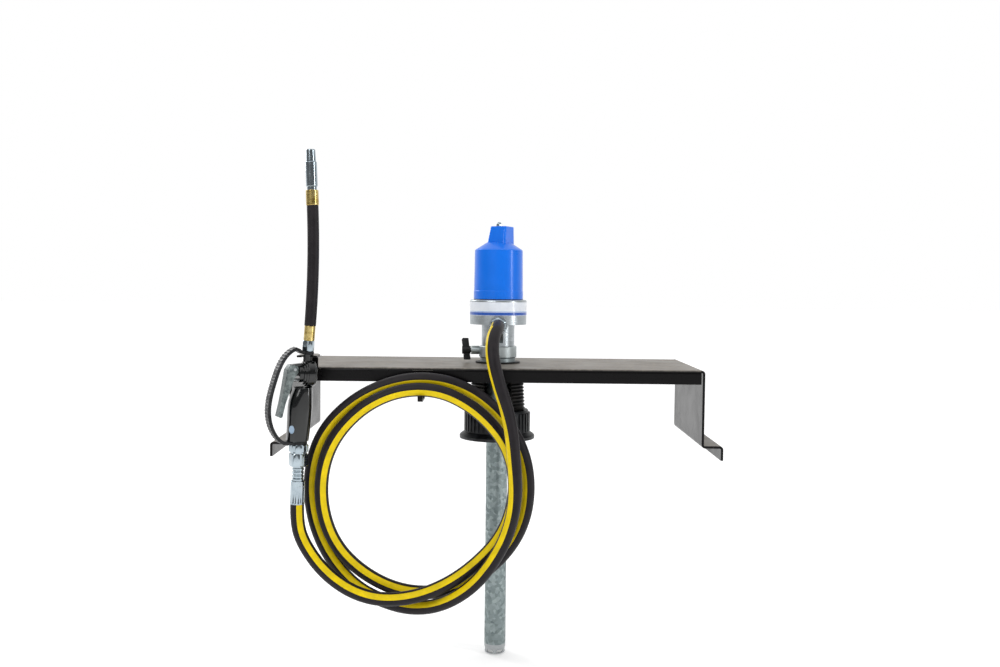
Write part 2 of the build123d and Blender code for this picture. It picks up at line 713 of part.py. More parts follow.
with BuildPart() as swivel_nut:
    with BuildSketch(gun.offset(TAIL_TOP)):
        RegularPolygon(radius=HEX_AF / 2, side_count=6, major_radius=False)
        Circle(5, mode=Mode.SUBTRACT)
    extrude(amount=NUT_TOP - TAIL_TOP)
save(swivel_nut, "swivel_nut")

with BuildPart() as inlet_fitting:
    with BuildSketch(gun.offset(NUT_TOP)):
        Circle(HEX_AF / 2 - 1)
    extrude(amount=1.5)
    with BuildSketch(gun.offset(NUT_TOP + 1.5)):
        RegularPolygon(radius=HEX_AF / 2, side_count=6, major_radius=False, rotation=12)
    extrude(amount=INLET_TOP - NUT_TOP - 1.5)
    with BuildSketch(gun.offset(INLET_TOP)):
        Circle(9)
    extrude(amount=16)
    with BuildSketch(gun.offset(NUT_TOP)):
        Circle(5)
    extrude(amount=INLET_TOP - NUT_TOP + 16, mode=Mode.SUBTRACT)
save(inlet_fitting, "inlet_fitting")

with BuildPart() as gun_grip:
    # faceted hand grip: width along u, depth along v, shift of the section's middle, height
    for width, depth, shift, height in ((35, 29, -2.6, GRIP_FOOT), (36, 30, -1.6, 118), (37, 32, 0.6, 163),
                                        (24, 30, 4.5, GRIP_TOP)):
        with BuildSketch(gun.offset(height)) as grip_section:
            with Locations((shift, 0)):
                Rectangle(width, depth)
            chamfer(grip_section.vertices(), 8)
    loft(ruled=True)
    with BuildSketch(gun.offset(GRIP_FOOT)):
        Circle(9)
    extrude(amount=14, mode=Mode.SUBTRACT)
    with BuildSketch(gun.offset(GRIP_FOOT)):
        Circle(5)
    extrude(amount=GRIP_TOP - GRIP_FOOT, mode=Mode.SUBTRACT)
save(gun_grip, "gun_grip")

HEAD_MIDDLE = 209.0
HEAD_END = 17.7
outlet_foot = gun.from_local_coords((OUTLET_OFFSET, 0, 226.0))
outlet = Plane(outlet_foot, x_dir=(1, 0, 0), z_dir=lean_direction(OUTLET_LEAN))
NECK_LENGTH = NECK_TOP - 226.0

with BuildPart() as gun_head:
    # round valve body across the gun, stepped towards the trigger, with the neck above and the lug left
    for step_radius, step_start in ((14, -5.5), (17.5, 1), (20, 4), (HEAD_R, 7)):
        with BuildSketch(valve_plane(step_start, HEAD_MIDDLE)):
            Circle(step_radius)
        extrude(amount=HEAD_END - step_start)
    fillet(gun_head.edges().filter_by(GeomType.CIRCLE), 0.9)
    with BuildSketch(outlet.offset(-12)):
        Circle(7)
    extrude(amount=14)
    with BuildSketch(outlet):
        Circle(7)
    extrude(amount=NECK_LENGTH)
    with BuildSketch(gun_side):
        with BuildLine():
            Polyline((0, 226), (-16, 224), (-19, 214), (-14, 206), (0, 206), close=True)
        make_face()
        fillet(vertices().sort_by(SortBy.DISTANCE)[:1], 0.5)
    extrude(amount=5, both=True)
    # pin hole, valve bore, spring chamber and outlet passage
    with BuildSketch(Plane(gun.from_local_coords((PIVOT_U, 0, PIVOT_W)), x_dir=gun.x_dir, z_dir=gun.y_dir)):
        Circle(2.5)
    extrude(amount=20, both=True, mode=Mode.SUBTRACT)
    with BuildSketch(valve_plane(-6)):
        Circle(2.5 + RUNNING)
    extrude(amount=30, mode=Mode.SUBTRACT)
    with BuildSketch(valve_plane(5)):
        Circle(9)
    extrude(amount=20, mode=Mode.SUBTRACT)
    with BuildSketch(outlet.offset(-16)):
        Circle(4)
    extrude(amount=16 + NECK_LENGTH, mode=Mode.SUBTRACT)
save(gun_head, "gun_head")

with BuildPart() as valve_cap:
    with BuildSketch(valve_plane(HEAD_END, HEAD_MIDDLE)):
        Circle(HEAD_R - 1.5)
    extrude(amount=3.5)
    fillet(valve_cap.faces().sort_by(Axis(gun.origin, gun.x_dir))[-1].edges(), 2)
save(valve_cap, "valve_cap")

with BuildPart() as valve_stem:
    with BuildSketch(valve_plane(-24.6)):
        Circle(2.5)
    extrude(amount=31.1)
    with BuildSketch(valve_plane(6.5)):
        Circle(6)
    extrude(amount=3)
save(valve_stem, "valve_stem")

with BuildPart() as valve_spring:
    # closed up, as a sleeve of the wound spring's size
    with BuildSketch(valve_plane(12.5)):
        Circle(6)
        Circle(4.4, mode=Mode.SUBTRACT)
    extrude(amount=HEAD_END - 12.5)
save(valve_spring, "valve_spring")

pivot_plane = Plane(gun.from_local_coords((PIVOT_U, 0, PIVOT_W)), x_dir=gun.x_dir, z_dir=-gun.y_dir)

with BuildPart() as trigger_pin:
    with BuildSketch(pivot_plane):
        Circle(2.5)
    extrude(amount=8.6, both=True)
save(trigger_pin, "trigger_pin")

with BuildPart() as trigger:
    # pressed lever: side cheeks and a web, open towards the grip
    with BuildSketch(gun_side) as cheek_profile:
        with BuildLine():
            Polyline((-13, 223), (-20, 223), (-25, 215), (-28.5, 190), (-32.5, 165), (-37.5, 142),
                     (-33.5, 140), (-31, 141), (-26.5, 165), (-22, 190), (-20, 200), (-12, 208.5),
                     (-7, 213), (-7, 219), close=True)
        make_face()
    extrude(amount=8, both=True)
    with BuildSketch(gun_side):
        with BuildLine():
            Polyline((0, 230), (-13, 230), (-20, 221.5), (-23, 214.5), (-26.5, 190), (-30.5, 165),
                     (-34.7, 144), (-34, 138), (0, 138), close=True)
        make_face()
    extrude(amount=6.3, both=True, mode=Mode.SUBTRACT)
    with BuildSketch(pivot_plane):
        Circle(2.5 + RUNNING)
    extrude(amount=20, both=True, mode=Mode.SUBTRACT)
save(trigger, "trigger")

with BuildPart() as trigger_guard:
    # strap from the neck, out round the lever and back under the grip, with a flat eye at each end
    guard_route = [
        (3.5, NECK_TOP + GUARD_THICK / 2), (-3, NECK_TOP + 4), (-9, 249), (-18, 245), (-28, 235), (-37, 218),
        (-44.5, 193), (-50, 171), (-52, 150.5), (-49, 130), (-42, 114.6), (-34, 104.5),
        (-26, INLET_TOP + GUARD_THICK / 2), (-10, INLET_TOP + GUARD_THICK / 2)]
    with BuildSketch(gun_side):
        with BuildLine():
            FilletPolyline(*guard_route, radius=corner_radii(guard_route))
        trace(line_width=GUARD_THICK)
    extrude(amount=GUARD_WIDTH / 2, both=True)
    with BuildSketch(outlet.offset(NECK_LENGTH)):
        Rectangle(24, GUARD_WIDTH, rotation=GUN_YAW)
        Circle(5.2, mode=Mode.SUBTRACT)
    extrude(amount=GUARD_THICK)
    with BuildSketch(gun.offset(INLET_TOP)):
        Circle(13)
        Circle(9.1, mode=Mode.SUBTRACT)
    extrude(amount=GUARD_THICK)
save(trigger_guard, "trigger_guard")

# ---------------------------------------------------------------- flexible extension and nozzle
HEX_FOOT = NECK_LENGTH + GUARD_THICK
HEX_TOP = HEX_FOOT + 17.0
FERRULE_LENGTH = 24.0
EXTENSION_FOOT = HEX_TOP + FERRULE_LENGTH
EXTENSION_R = 9.2
bend_angle = OUTLET_LEAN - NOZZLE_LEAN
bend_radius = EXTENSION_LENGTH / radians(bend_angle)
outlet_side = Plane(outlet.origin, x_dir=outlet.x_dir, z_dir=-outlet.y_dir)

with BuildPart() as outlet_hex:
    with BuildSketch(outlet.offset(NECK_LENGTH - 10)):
        Circle(4)
    extrude(amount=10)
    with BuildSketch(outlet.offset(NECK_LENGTH)):
        Circle(5)
    extrude(amount=GUARD_THICK)
    with BuildSketch(outlet.offset(HEX_FOOT)):
        RegularPolygon(radius=8.5, side_count=6, major_radius=False)
    extrude(amount=HEX_TOP - HEX_FOOT)
    with BuildSketch(outlet.offset(NECK_LENGTH - 10)):
        Circle(2.5)
    extrude(amount=HEX_TOP - NECK_LENGTH + 10, mode=Mode.SUBTRACT)
save(outlet_hex, "outlet_hex")

with BuildPart() as extension_hose:
    with BuildLine() as extension_line:
        with BuildLine(outlet_side):
            CenterArc((-bend_radius, EXTENSION_FOOT), bend_radius, 0, bend_angle)
    with BuildSketch(outlet.offset(EXTENSION_FOOT)):
        Circle(EXTENSION_R)
    sweep(path=extension_line.line)
save(extension_hose, "extension_hose")

nozzle = Plane(extension_line.line @ 1, x_dir=(1, 0, 0), z_dir=lean_direction(NOZZLE_LEAN))
SLEEVE_FOOT = FERRULE_LENGTH + 5
SLEEVE_TOP = SLEEVE_FOOT + 40
TIP_LENGTH = 19.0
STEM_TOP = SLEEVE_TOP + 5

with BuildPart() as extension_ferrules:
    # one brass ferrule at each end of the extension
    with BuildSketch(outlet.offset(HEX_TOP)):
        Circle(8.7)
    extrude(amount=FERRULE_LENGTH)
    with BuildSketch(nozzle):
        Circle(10)
    extrude(amount=FERRULE_LENGTH)
    fillet(extension_ferrules.edges().filter_by(GeomType.CIRCLE), 1)
    for end in (outlet.offset(HEX_TOP), nozzle):
        with BuildSketch(end):
            Circle(3.5)
        extrude(amount=FERRULE_LENGTH, mode=Mode.SUBTRACT)
save(extension_ferrules, "extension_ferrules")

with BuildPart() as nozzle_body:
    with BuildSketch(nozzle.offset(FERRULE_LENGTH)):
        Circle(7.8)
    extrude(amount=SLEEVE_FOOT - FERRULE_LENGTH)
    with BuildSketch(nozzle.offset(SLEEVE_FOOT)):
        Circle(5)
    extrude(amount=STEM_TOP - SLEEVE_FOOT)
    with BuildSketch(nozzle.offset(FERRULE_LENGTH)):
        Circle(3.5)
    extrude(amount=STEM_TOP - FERRULE_LENGTH, mode=Mode.SUBTRACT)
save(nozzle_body, "nozzle_body")

with BuildPart() as nozzle_sleeve:
    with BuildSketch(nozzle.offset(SLEEVE_FOOT + 0.2)):
        Circle(9.1)
    extrude(amount=SLEEVE_TOP - SLEEVE_FOOT - 0.4)
    chamfer(nozzle_sleeve.edges().filter_by(GeomType.CIRCLE), 1)
    with BuildSketch(nozzle.offset(SLEEVE_FOOT)):
        Circle(5 + RUNNING)
    extrude(amount=SLEEVE_TOP - SLEEVE_FOOT, mode=Mode.SUBTRACT)
save(nozzle_sleeve, "nozzle_sleeve")

with BuildPart() as nozzle_tip:
    with BuildSketch(nozzle.offset(SLEEVE_TOP)):
        Circle(7.9)
    extrude(amount=TIP_LENGTH, taper=2)
    fillet(nozzle_tip.edges().group_by(Axis.Z)[-1], 1.5)
    with BuildSketch(nozzle.offset(SLEEVE_TOP)):
        Circle(5)
    extrude(amount=5, mode=Mode.SUBTRACT)
    with BuildSketch(nozzle.offset(SLEEVE_TOP)):
        Circle(3)
    extrude(amount=TIP_LENGTH, mode=Mode.SUBTRACT)
save(nozzle_tip, "nozzle_tip")

# ---------------------------------------------------------------- hanger, hook and their fasteners
STRIP = 3.0
FORK_TOP = 149.8
FORK_FRONT = -181.0
neck_middle = outlet.from_local_coords((0, 0, NECK_LENGTH - 2))
SCREW_ROW = 116.0
SCREW_X = (-316.0, -296.0, -132.0, -112.0)

with BuildPart() as gun_hanger:
    # plate on the flange, strip up behind the gun, fork under the eye of the guard
    with BuildSketch(Plane((0, FRONT, 0), x_dir=(1, 0, 0), z_dir=(0, -1, 0))):
        with Locations((-306, SCREW_ROW)):
            Rectangle(36, 18)
        with Locations((neck_middle.X, (SCREW_ROW + FORK_TOP) / 2)):
            Rectangle(18, FORK_TOP - SCREW_ROW)
        with Locations((SCREW_X[0], SCREW_ROW), (SCREW_X[1], SCREW_ROW)):
            Circle(2.7, mode=Mode.SUBTRACT)
    extrude(amount=STRIP)
    with BuildSketch(Plane.XY.offset(FORK_TOP)):
        with BuildLine():
            Polyline((neck_middle.X - 9, FRONT), (neck_middle.X - 16, FRONT - 22),
                     (neck_middle.X - 16, FORK_FRONT), (neck_middle.X + 16, FORK_FRONT),
                     (neck_middle.X + 16, FRONT - 22), (neck_middle.X + 9, FRONT), close=True)
        make_face()
        with Locations((neck_middle.X + 0.5, neck_middle.Y)):
            Circle(9, mode=Mode.SUBTRACT)
        with Locations((neck_middle.X + 0.5, neck_middle.Y - 10)):
            Rectangle(18, 20, mode=Mode.SUBTRACT)
    extrude(amount=-STRIP)
save(gun_hanger, "gun_hanger")

HOOK_X = -122.0
HOOK_SHELF = 81.0

with BuildPart() as hose_hook:
    with BuildSketch(Plane((0, FRONT, 0), x_dir=(1, 0, 0), z_dir=(0, -1, 0))):
        with Locations((HOOK_X, SCREW_ROW)):
            Rectangle(34, 16)
        with Locations((SCREW_X[2], SCREW_ROW), (SCREW_X[3], SCREW_ROW)):
            Circle(2.7, mode=Mode.SUBTRACT)
    extrude(amount=STRIP)
    with BuildSketch(Plane.YZ.offset(HOOK_X)):
        with BuildLine():
            FilletPolyline(
                (FRONT - STRIP / 2, SCREW_ROW - 6), (FRONT - STRIP / 2, HOOK_SHELF - STRIP / 2),
                (-182.5, HOOK_SHELF - STRIP / 2), (-182.5, HOOK_SHELF + 7), radius=3)
        trace(line_width=STRIP)
    extrude(amount=4, both=True)
save(hose_hook, "hose_hook")

with BuildPart() as bracket_fasteners:
    # four screws and their nuts
    screw_heads = Plane((0, FRONT - STRIP, SCREW_ROW), x_dir=(1, 0, 0), z_dir=(0, -1, 0))
    for x in SCREW_X:
        with BuildSketch(screw_heads):
            with Locations((x, 0)):
                Circle(4.6)
        extrude(amount=2.4)
        with BuildSketch(screw_heads):
            with Locations((x, 0)):
                Circle(2.5)
        extrude(amount=-15)
        with BuildSketch(screw_heads.offset(-STRIP - PLATE - 4.2)):
            with Locations((x, 0)):
                RegularPolygon(radius=4, side_count=6, major_radius=False)
        extrude(amount=4)
save(bracket_fasteners, "bracket_fasteners")
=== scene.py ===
"""Looks of an air-operated gear oil pump on its bridge bracket: finishes, hose, fittings, gun and studio."""
import json
from math import cos, pi, radians, sin, sqrt

import bpy
from bpy.props import FloatProperty, FloatVectorProperty, IntProperty, PointerProperty
from mathutils import Matrix, Vector


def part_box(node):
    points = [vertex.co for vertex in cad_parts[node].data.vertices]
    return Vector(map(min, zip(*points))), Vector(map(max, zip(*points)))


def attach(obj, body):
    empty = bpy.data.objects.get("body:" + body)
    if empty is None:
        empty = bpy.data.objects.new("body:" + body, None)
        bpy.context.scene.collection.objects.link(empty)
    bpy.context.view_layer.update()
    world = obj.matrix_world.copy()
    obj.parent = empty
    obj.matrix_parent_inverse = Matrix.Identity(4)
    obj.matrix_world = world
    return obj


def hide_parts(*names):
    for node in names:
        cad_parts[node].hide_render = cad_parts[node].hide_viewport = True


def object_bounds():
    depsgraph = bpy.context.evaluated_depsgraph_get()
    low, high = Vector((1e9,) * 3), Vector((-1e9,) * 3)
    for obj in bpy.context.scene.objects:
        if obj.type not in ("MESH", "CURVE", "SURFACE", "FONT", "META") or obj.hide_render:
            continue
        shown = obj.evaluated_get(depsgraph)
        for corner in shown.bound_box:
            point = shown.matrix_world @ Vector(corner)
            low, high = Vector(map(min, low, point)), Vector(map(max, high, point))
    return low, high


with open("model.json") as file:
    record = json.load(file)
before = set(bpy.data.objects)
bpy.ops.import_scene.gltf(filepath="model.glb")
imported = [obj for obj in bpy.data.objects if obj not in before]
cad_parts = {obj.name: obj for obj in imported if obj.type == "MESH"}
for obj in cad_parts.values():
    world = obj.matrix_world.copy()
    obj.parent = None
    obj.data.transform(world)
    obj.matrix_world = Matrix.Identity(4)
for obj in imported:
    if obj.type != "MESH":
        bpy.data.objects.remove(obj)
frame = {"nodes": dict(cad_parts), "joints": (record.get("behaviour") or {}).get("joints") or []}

bl_info = {
    "name": "Gear oil pump",
    "version": (1, 0, 0),
    "blender": (4, 5, 0),
    "location": "View3D > Sidebar > Oil pump",
    "description": "Builds the finishes, hose, fittings and control gun of a bridge-mounted gear oil pump",
    "category": "Add Mesh",
}

CAD_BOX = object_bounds()
MM = 0.001
NODES = frame["nodes"]
JOINTS = {joint["name"]: joint for joint in frame["joints"]}


# ---------------------------------------------------------------- colour, nodes and finishes
def linear(code):
    """Linear RGB of an sRGB hex colour."""
    channels = [int(code[i:i + 2], 16) / 255 for i in (1, 3, 5)]
    return tuple(c / 12.92 if c <= 0.04045 else ((c + 0.055) / 1.055) ** 2.4 for c in channels)


def rgba(colour):
    """A colour with full alpha, from a hex code or from linear RGB."""
    return (*(linear(colour) if isinstance(colour, str) else colour), 1.0)


def per_metre(size_mm):
    """Texture scale that repeats once in a size given in millimetres."""
    return 1000.0 / size_mm


def add(tree, kind, inputs=(), **settings):
    """Add one shader node: its kind is the rest of its type's name after ShaderNode, settings are its
    properties, and inputs are its sockets' values or the outputs linked into them."""
    made = tree.nodes.new("ShaderNode" + kind)
    for name, value in settings.items():
        setattr(made, name, value)
    for name, value in dict(inputs).items():
        if isinstance(value, bpy.types.NodeSocket):
            tree.links.new(value, made.inputs[name])
        else:
            made.inputs[name].default_value = value
    return made


def begin(name):
    """A material with its shader and output, and the object's own coordinates in metres."""
    material = bpy.data.materials.new(name)
    material.use_nodes = True
    tree = material.node_tree
    tree.nodes.clear()
    shader = add(tree, "BsdfPrincipled")
    add(tree, "OutputMaterial", {"Surface": shader.outputs["BSDF"]})
    place = add(tree, "TexCoord").outputs["Object"]
    return material, tree, shader, place


def surface(tree, shader, colour=None, rough=None, bump=None):
    """Link a finish's colour, roughness and relief to its shader."""
    if colour:
        tree.links.new(colour.outputs[2], shader.inputs["Base Color"])
    if rough:
        tree.links.new(rough.outputs[0], shader.inputs["Roughness"])
    if bump:
        tree.links.new(bump.outputs[0], shader.inputs["Normal"])


def powder_coat():
    """Gloss black polyester powder coat on bent steel: fine orange peel, and pale patches on what faces up
    that are partly dust and partly a painted reflection of the bright sky.
    """
    material, tree, shader, place = begin("powder_coat_gloss_black")
    peel = add(tree, "TexNoise", {"Vector": place, "Scale": per_metre(2.2), "Detail": 2.0})
    cloud = add(tree, "TexNoise", {"Vector": place, "Scale": per_metre(60), "Detail": 6.0})
    facing = add(tree, "SeparateXYZ", {0: add(tree, "NewGeometry").outputs["Normal"]})
    upward = add(tree, "MapRange", {0: facing.outputs["Z"], 1: 0.6, 2: 1.0, 3: 0.0, 4: 1.0})
    speck = add(tree, "TexNoise", {"Vector": place, "Scale": per_metre(7), "Detail": 8.0, "Roughness": 0.7})
    patch = add(tree, "MapRange", {0: speck.outputs[0], 1: 0.45, 2: 0.72, 3: 0.35, 4: 0.9})
    # painted reflection: faces that point up are paled towards grey-beige in patches, partly as dust and
    # partly to stand in for the bright sky they mirror
    dust_and_sky_sheen = add(tree, "Math", {0: upward.outputs[0], 1: patch.outputs[0]}, operation="MULTIPLY")
    colour = add(tree, "Mix", {0: dust_and_sky_sheen.outputs[0], 6: rgba("#060506"), 7: rgba("#a59d92")},
                 data_type="RGBA")
    rough = add(tree, "MapRange", {0: cloud.outputs[0], 1: 0.3, 2: 0.7, 3: 0.2, 4: 0.34})
    dull = add(tree, "Math", {0: dust_and_sky_sheen.outputs[0], 1: 0.35, 2: rough.outputs[0]}, operation="MULTIPLY_ADD")
    bump = add(tree, "Bump", {"Height": peel.outputs[0], "Strength": 0.25, "Distance": 0.12 * MM})
    surface(tree, shader, colour, dull, bump)
    shader.inputs["Specular IOR Level"].default_value = 0.16
    return material


def stove_enamel(colour):
    """Blue stove enamel on an aluminium pressing: wet gloss over a smooth coat, faint orange peel."""
    material, tree, shader, place = begin("stove_enamel_blue")
    peel = add(tree, "TexNoise", {"Vector": place, "Scale": per_metre(3.5), "Detail": 2.0})
    tone = add(tree, "TexNoise", {"Vector": place, "Scale": per_metre(35), "Detail": 4.0})
    deep = tuple(c * 0.82 for c in colour)
    mix = add(tree, "Mix", {0: tone.outputs[0], 6: (*deep, 1), 7: (*colour, 1)}, data_type="RGBA")
    rough = add(tree, "MapRange", {0: tone.outputs[0], 1: 0.3, 2: 0.7, 3: 0.26, 4: 0.36})
    bump = add(tree, "Bump", {"Height": peel.outputs[0], "Strength": 0.16, "Distance": 0.12 * MM})
    surface(tree, shader, mix, rough, bump)
    shader.inputs["Specular IOR Level"].default_value = 0.25
    shader.inputs["Coat Weight"].default_value = 0.25
    shader.inputs["Coat Roughness"].default_value = 0.08
    return material


def turned_aluminium():
    """Machined aluminium casting: fine rings left by the tool round the pump's axis, soft satin sheen."""
    material, tree, shader, place = begin("aluminium_turned")
    flat = add(tree, "Mapping", {0: place, "Scale": (0.02, 0.02, 1.0)})
    rings = add(tree, "TexNoise", {"Vector": flat.outputs[0], "Scale": per_metre(0.8), "Detail": 3.0})
    grain = add(tree, "TexNoise", {"Vector": place, "Scale": per_metre(9), "Detail": 7.0})
    colour = add(tree, "Mix", {0: grain.outputs[0], 6: rgba("#949b9f"), 7: rgba("#b7bdc0")},
                 data_type="RGBA")
    rough = add(tree, "MapRange", {0: rings.outputs[0], 1: 0.3, 2: 0.7, 3: 0.24, 4: 0.42})
    bump = add(tree, "Bump", {"Height": rings.outputs[0], "Strength": 0.3, "Distance": 0.04 * MM})
    surface(tree, shader, colour, rough, bump)
    shader.inputs["Metallic"].default_value = 1.0
    return material


def diecast_grey():
    """Tumbled zinc-aluminium die casting: dull grey skin, soft pits, edges rubbed brighter."""
    material, tree, shader, place = begin("diecast_tumbled_grey")
    pits = add(tree, "TexNoise", {"Vector": place, "Scale": per_metre(1.6), "Detail": 6.0})
    cloud = add(tree, "TexNoise", {"Vector": place, "Scale": per_metre(18), "Detail": 5.0})
    colour = add(tree, "Mix", {0: cloud.outputs[0], 6: rgba("#7f8b8f"), 7: rgba("#a9b3b4")},
                 data_type="RGBA")
    edge = add(tree, "MapRange",
               {0: add(tree, "NewGeometry").outputs["Pointiness"], 1: 0.5, 2: 0.6, 3: 0.0, 4: 0.5})
    worn = add(tree, "Mix", {0: edge.outputs[0], 6: colour.outputs[2], 7: rgba("#dfe4e4")},
               data_type="RGBA")
    bump = add(tree, "Bump", {"Height": pits.outputs[0], "Strength": 0.35, "Distance": 0.12 * MM})
    rough = add(tree, "MapRange", {0: pits.outputs[0], 1: 0.3, 2: 0.7, 3: 0.34, 4: 0.52})
    surface(tree, shader, worn, rough, bump)
    shader.inputs["Metallic"].default_value = 0.85
    return material


def bright_plate():
    """Bright zinc plate on steel fittings: cool mirror-like skin, softened by fine handling scratches."""
    material, tree, shader, place = begin("zinc_plate_bright")
    streak = add(tree, "Mapping", {0: place, "Rotation": (0.4, 0.7, 0.2), "Scale": (1.0, 1.0, 0.06)})
    scratch = add(tree, "TexNoise", {"Vector": streak.outputs[0], "Scale": per_metre(0.5), "Detail": 3.0})
    cloud = add(tree, "TexNoise", {"Vector": place, "Scale": per_metre(10), "Detail": 5.0})
    colour = add(tree, "Mix", {0: cloud.outputs[0], 6: rgba("#8b979f"), 7: rgba("#b3bfc6")},
                 data_type="RGBA")
    rough = add(tree, "MapRange", {0: scratch.outputs[0], 1: 0.35, 2: 0.7, 3: 0.1, 4: 0.22})
    bump = add(tree, "Bump", {"Height": scratch.outputs[0], "Strength": 0.1, "Distance": 0.01 * MM})
    surface(tree, shader, colour, rough, bump)
    shader.inputs["Metallic"].default_value = 1.0
    return material


def galvanised():
    """Hot-dip galvanised steel tube: matt zinc with crystal spangle a few millimetres across."""
    material, tree, shader, place = begin("steel_galvanised")
    spangle = add(tree, "TexVoronoi", {"Vector": place, "Scale": per_metre(5.5), "Randomness": 1.0})
    fog = add(tree, "TexNoise", {"Vector": place, "Scale": per_metre(14), "Detail": 6.0})
    crystal = add(tree, "SeparateColor", {0: spangle.outputs["Color"]})
    colour = add(tree, "Mix", {0: crystal.outputs[0], 6: rgba("#6f7b7c"), 7: rgba("#98a3a3")},
                 data_type="RGBA")
    rough = add(tree, "MapRange", {0: crystal.outputs[1], 3: 0.34, 4: 0.58})
    bump = add(tree, "Bump", {"Height": fog.outputs[0], "Strength": 0.25, "Distance": 0.1 * MM})
    surface(tree, shader, colour, rough, bump)
    shader.inputs["Metallic"].default_value = 0.9
    return material


def turned_steel():
    """Turned and ground carbon steel of the inner works: bright grey with a trace of oil."""
    material, tree, shader, place = begin("steel_turned_oiled")
    flat = add(tree, "Mapping", {0: place, "Scale": (0.03, 0.03, 1.0)})
    rings = add(tree, "TexNoise", {"Vector": flat.outputs[0], "Scale": per_metre(0.6), "Detail": 3.0})
    colour = add(tree, "Mix", {0: rings.outputs[0], 6: rgba("#868b8e"), 7: rgba("#b7babb")},
                 data_type="RGBA")
    rough = add(tree, "MapRange", {0: rings.outputs[0], 1: 0.3, 2: 0.7, 3: 0.2, 4: 0.36})
    surface(tree, shader, colour, rough)
    shader.inputs["Metallic"].default_value = 1.0
    return material


def brass(name, bright, dark):
    """Turned free-cutting brass or bearing bronze: warm metal, browner where fingers have tarnished it."""
    material, tree, shader, place = begin(name)
    stain = add(tree, "TexNoise", {"Vector": place, "Scale": per_metre(8), "Detail": 6.0})
    flat = add(tree, "Mapping", {0: place, "Scale": (0.05, 0.05, 1.0)})
    rings = add(tree, "TexNoise", {"Vector": flat.outputs[0], "Scale": per_metre(0.7), "Detail": 2.0})
    share = add(tree, "MapRange", {0: stain.outputs[0], 1: 0.35, 2: 0.65})
    colour = add(tree, "Mix", {0: share.outputs[0], 6: rgba(bright), 7: rgba(dark)}, data_type="RGBA")
    rough = add(tree, "MapRange", {0: rings.outputs[0], 1: 0.3, 2: 0.7, 3: 0.16, 4: 0.32})
    bump = add(tree, "Bump", {"Height": rings.outputs[0], "Strength": 0.25, "Distance": 0.03 * MM})
    surface(tree, shader, colour, rough, bump)
    shader.inputs["Metallic"].default_value = 1.0
    return material


def hose_cover(name, light, dark):
    """Cloth-wrapped nitrile hose cover: the wrap's weave is pressed into the rubber. Threads are 0.8 mm apart
    in the real cover, and are drawn 1.6 mm apart so that they show."""
    material, tree, shader, place = begin(name)
    lay = add(tree, "Attribute", attribute_name="hose_lay").outputs["Vector"]
    weave = [add(tree, "TexWave",
                 {"Vector": add(tree, "Mapping", {0: lay, "Rotation": (0, 0, turn)}).outputs[0],
                  "Scale": per_metre(1.6) / (2 * pi), "Distortion": 0.6, "Detail": 1.0, "Detail Scale": 2.0})
             for turn in (radians(35), radians(-35))]
    cross = add(tree, "Math", {0: weave[0].outputs["Fac"], 1: weave[1].outputs["Fac"]},
                operation="MULTIPLY")
    smear = add(tree, "TexNoise", {"Vector": place, "Scale": per_metre(22), "Detail": 7.0,
                                             "Roughness": 0.65})
    share = add(tree, "MapRange", {0: smear.outputs[0], 1: 0.35, 2: 0.68})
    colour = add(tree, "Mix", {0: share.outputs[0], 6: rgba(light), 7: rgba(dark)}, data_type="RGBA")
    rough = add(tree, "MapRange", {0: smear.outputs[0], 1: 0.3, 2: 0.7, 3: 0.42, 4: 0.6})
    bump = add(tree, "Bump", {"Height": cross.outputs[0], "Strength": 0.45, "Distance": 0.12 * MM})
    surface(tree, shader, colour, rough, bump)
    shader.inputs["Specular IOR Level"].default_value = 0.2
    return material


def moulded(name, base, worn, gloss, grain_mm, grain_depth):
    """Moulded rubber or nylon: fine spark grain, paler where it has been rubbed or has dust in it."""
    material, tree, shader, place = begin(name)
    grain = add(tree, "TexNoise", {"Vector": place, "Scale": per_metre(grain_mm), "Detail": 4.0})
    dust_and_sky_sheen = add(tree, "TexNoise", {"Vector": place, "Scale": per_metre(16), "Detail": 7.0})
    share = add(tree, "MapRange", {0: dust_and_sky_sheen.outputs[0], 1: 0.42, 2: 0.75, 3: 0.0, 4: 0.7})
    colour = add(tree, "Mix", {0: share.outputs[0], 6: rgba(base), 7: rgba(worn)}, data_type="RGBA")
    rough = add(tree, "MapRange", {0: grain.outputs[0], 1: 0.3, 2: 0.7, 3: gloss, 4: gloss + 0.16})
    bump = add(tree, "Bump", {"Height": grain.outputs[0], "Strength": 0.4, "Distance": grain_depth * MM})
    surface(tree, shader, colour, rough, bump)
    shader.inputs["Specular IOR Level"].default_value = 0.25
    return material


def gloss_lacquer():
    """Black epoxy lacquer on the gun's die casting: deep gloss, a slight ripple, metal at rubbed edges."""
    material, tree, shader, place = begin("epoxy_lacquer_black")
    ripple = add(tree, "TexNoise", {"Vector": place, "Scale": per_metre(5), "Detail": 2.0})
    rub = add(tree, "TexNoise", {"Vector": place, "Scale": per_metre(6), "Detail": 7.0})
    edge = add(tree, "MapRange",
               {0: add(tree, "NewGeometry").outputs["Pointiness"], 1: 0.54, 2: 0.62, 3: 0.0, 4: 0.9})
    wear = add(tree, "Math", {0: edge.outputs[0], 1: rub.outputs[0]}, operation="MULTIPLY")
    colour = add(tree, "Mix", {0: wear.outputs[0], 6: rgba("#060809"), 7: rgba("#737b7d")},
                 data_type="RGBA")
    rough = add(tree, "MapRange", {0: rub.outputs[0], 1: 0.3, 2: 0.7, 3: 0.12, 4: 0.24})
    bump = add(tree, "Bump", {"Height": ripple.outputs[0], "Strength": 0.2, "Distance": 0.2 * MM})
    surface(tree, shader, colour, rough, bump)
    shader.inputs["Specular IOR Level"].default_value = 0.3
    shader.inputs["Coat Weight"].default_value = 0.6
    shader.inputs["Coat Roughness"].default_value = 0.05
    return material


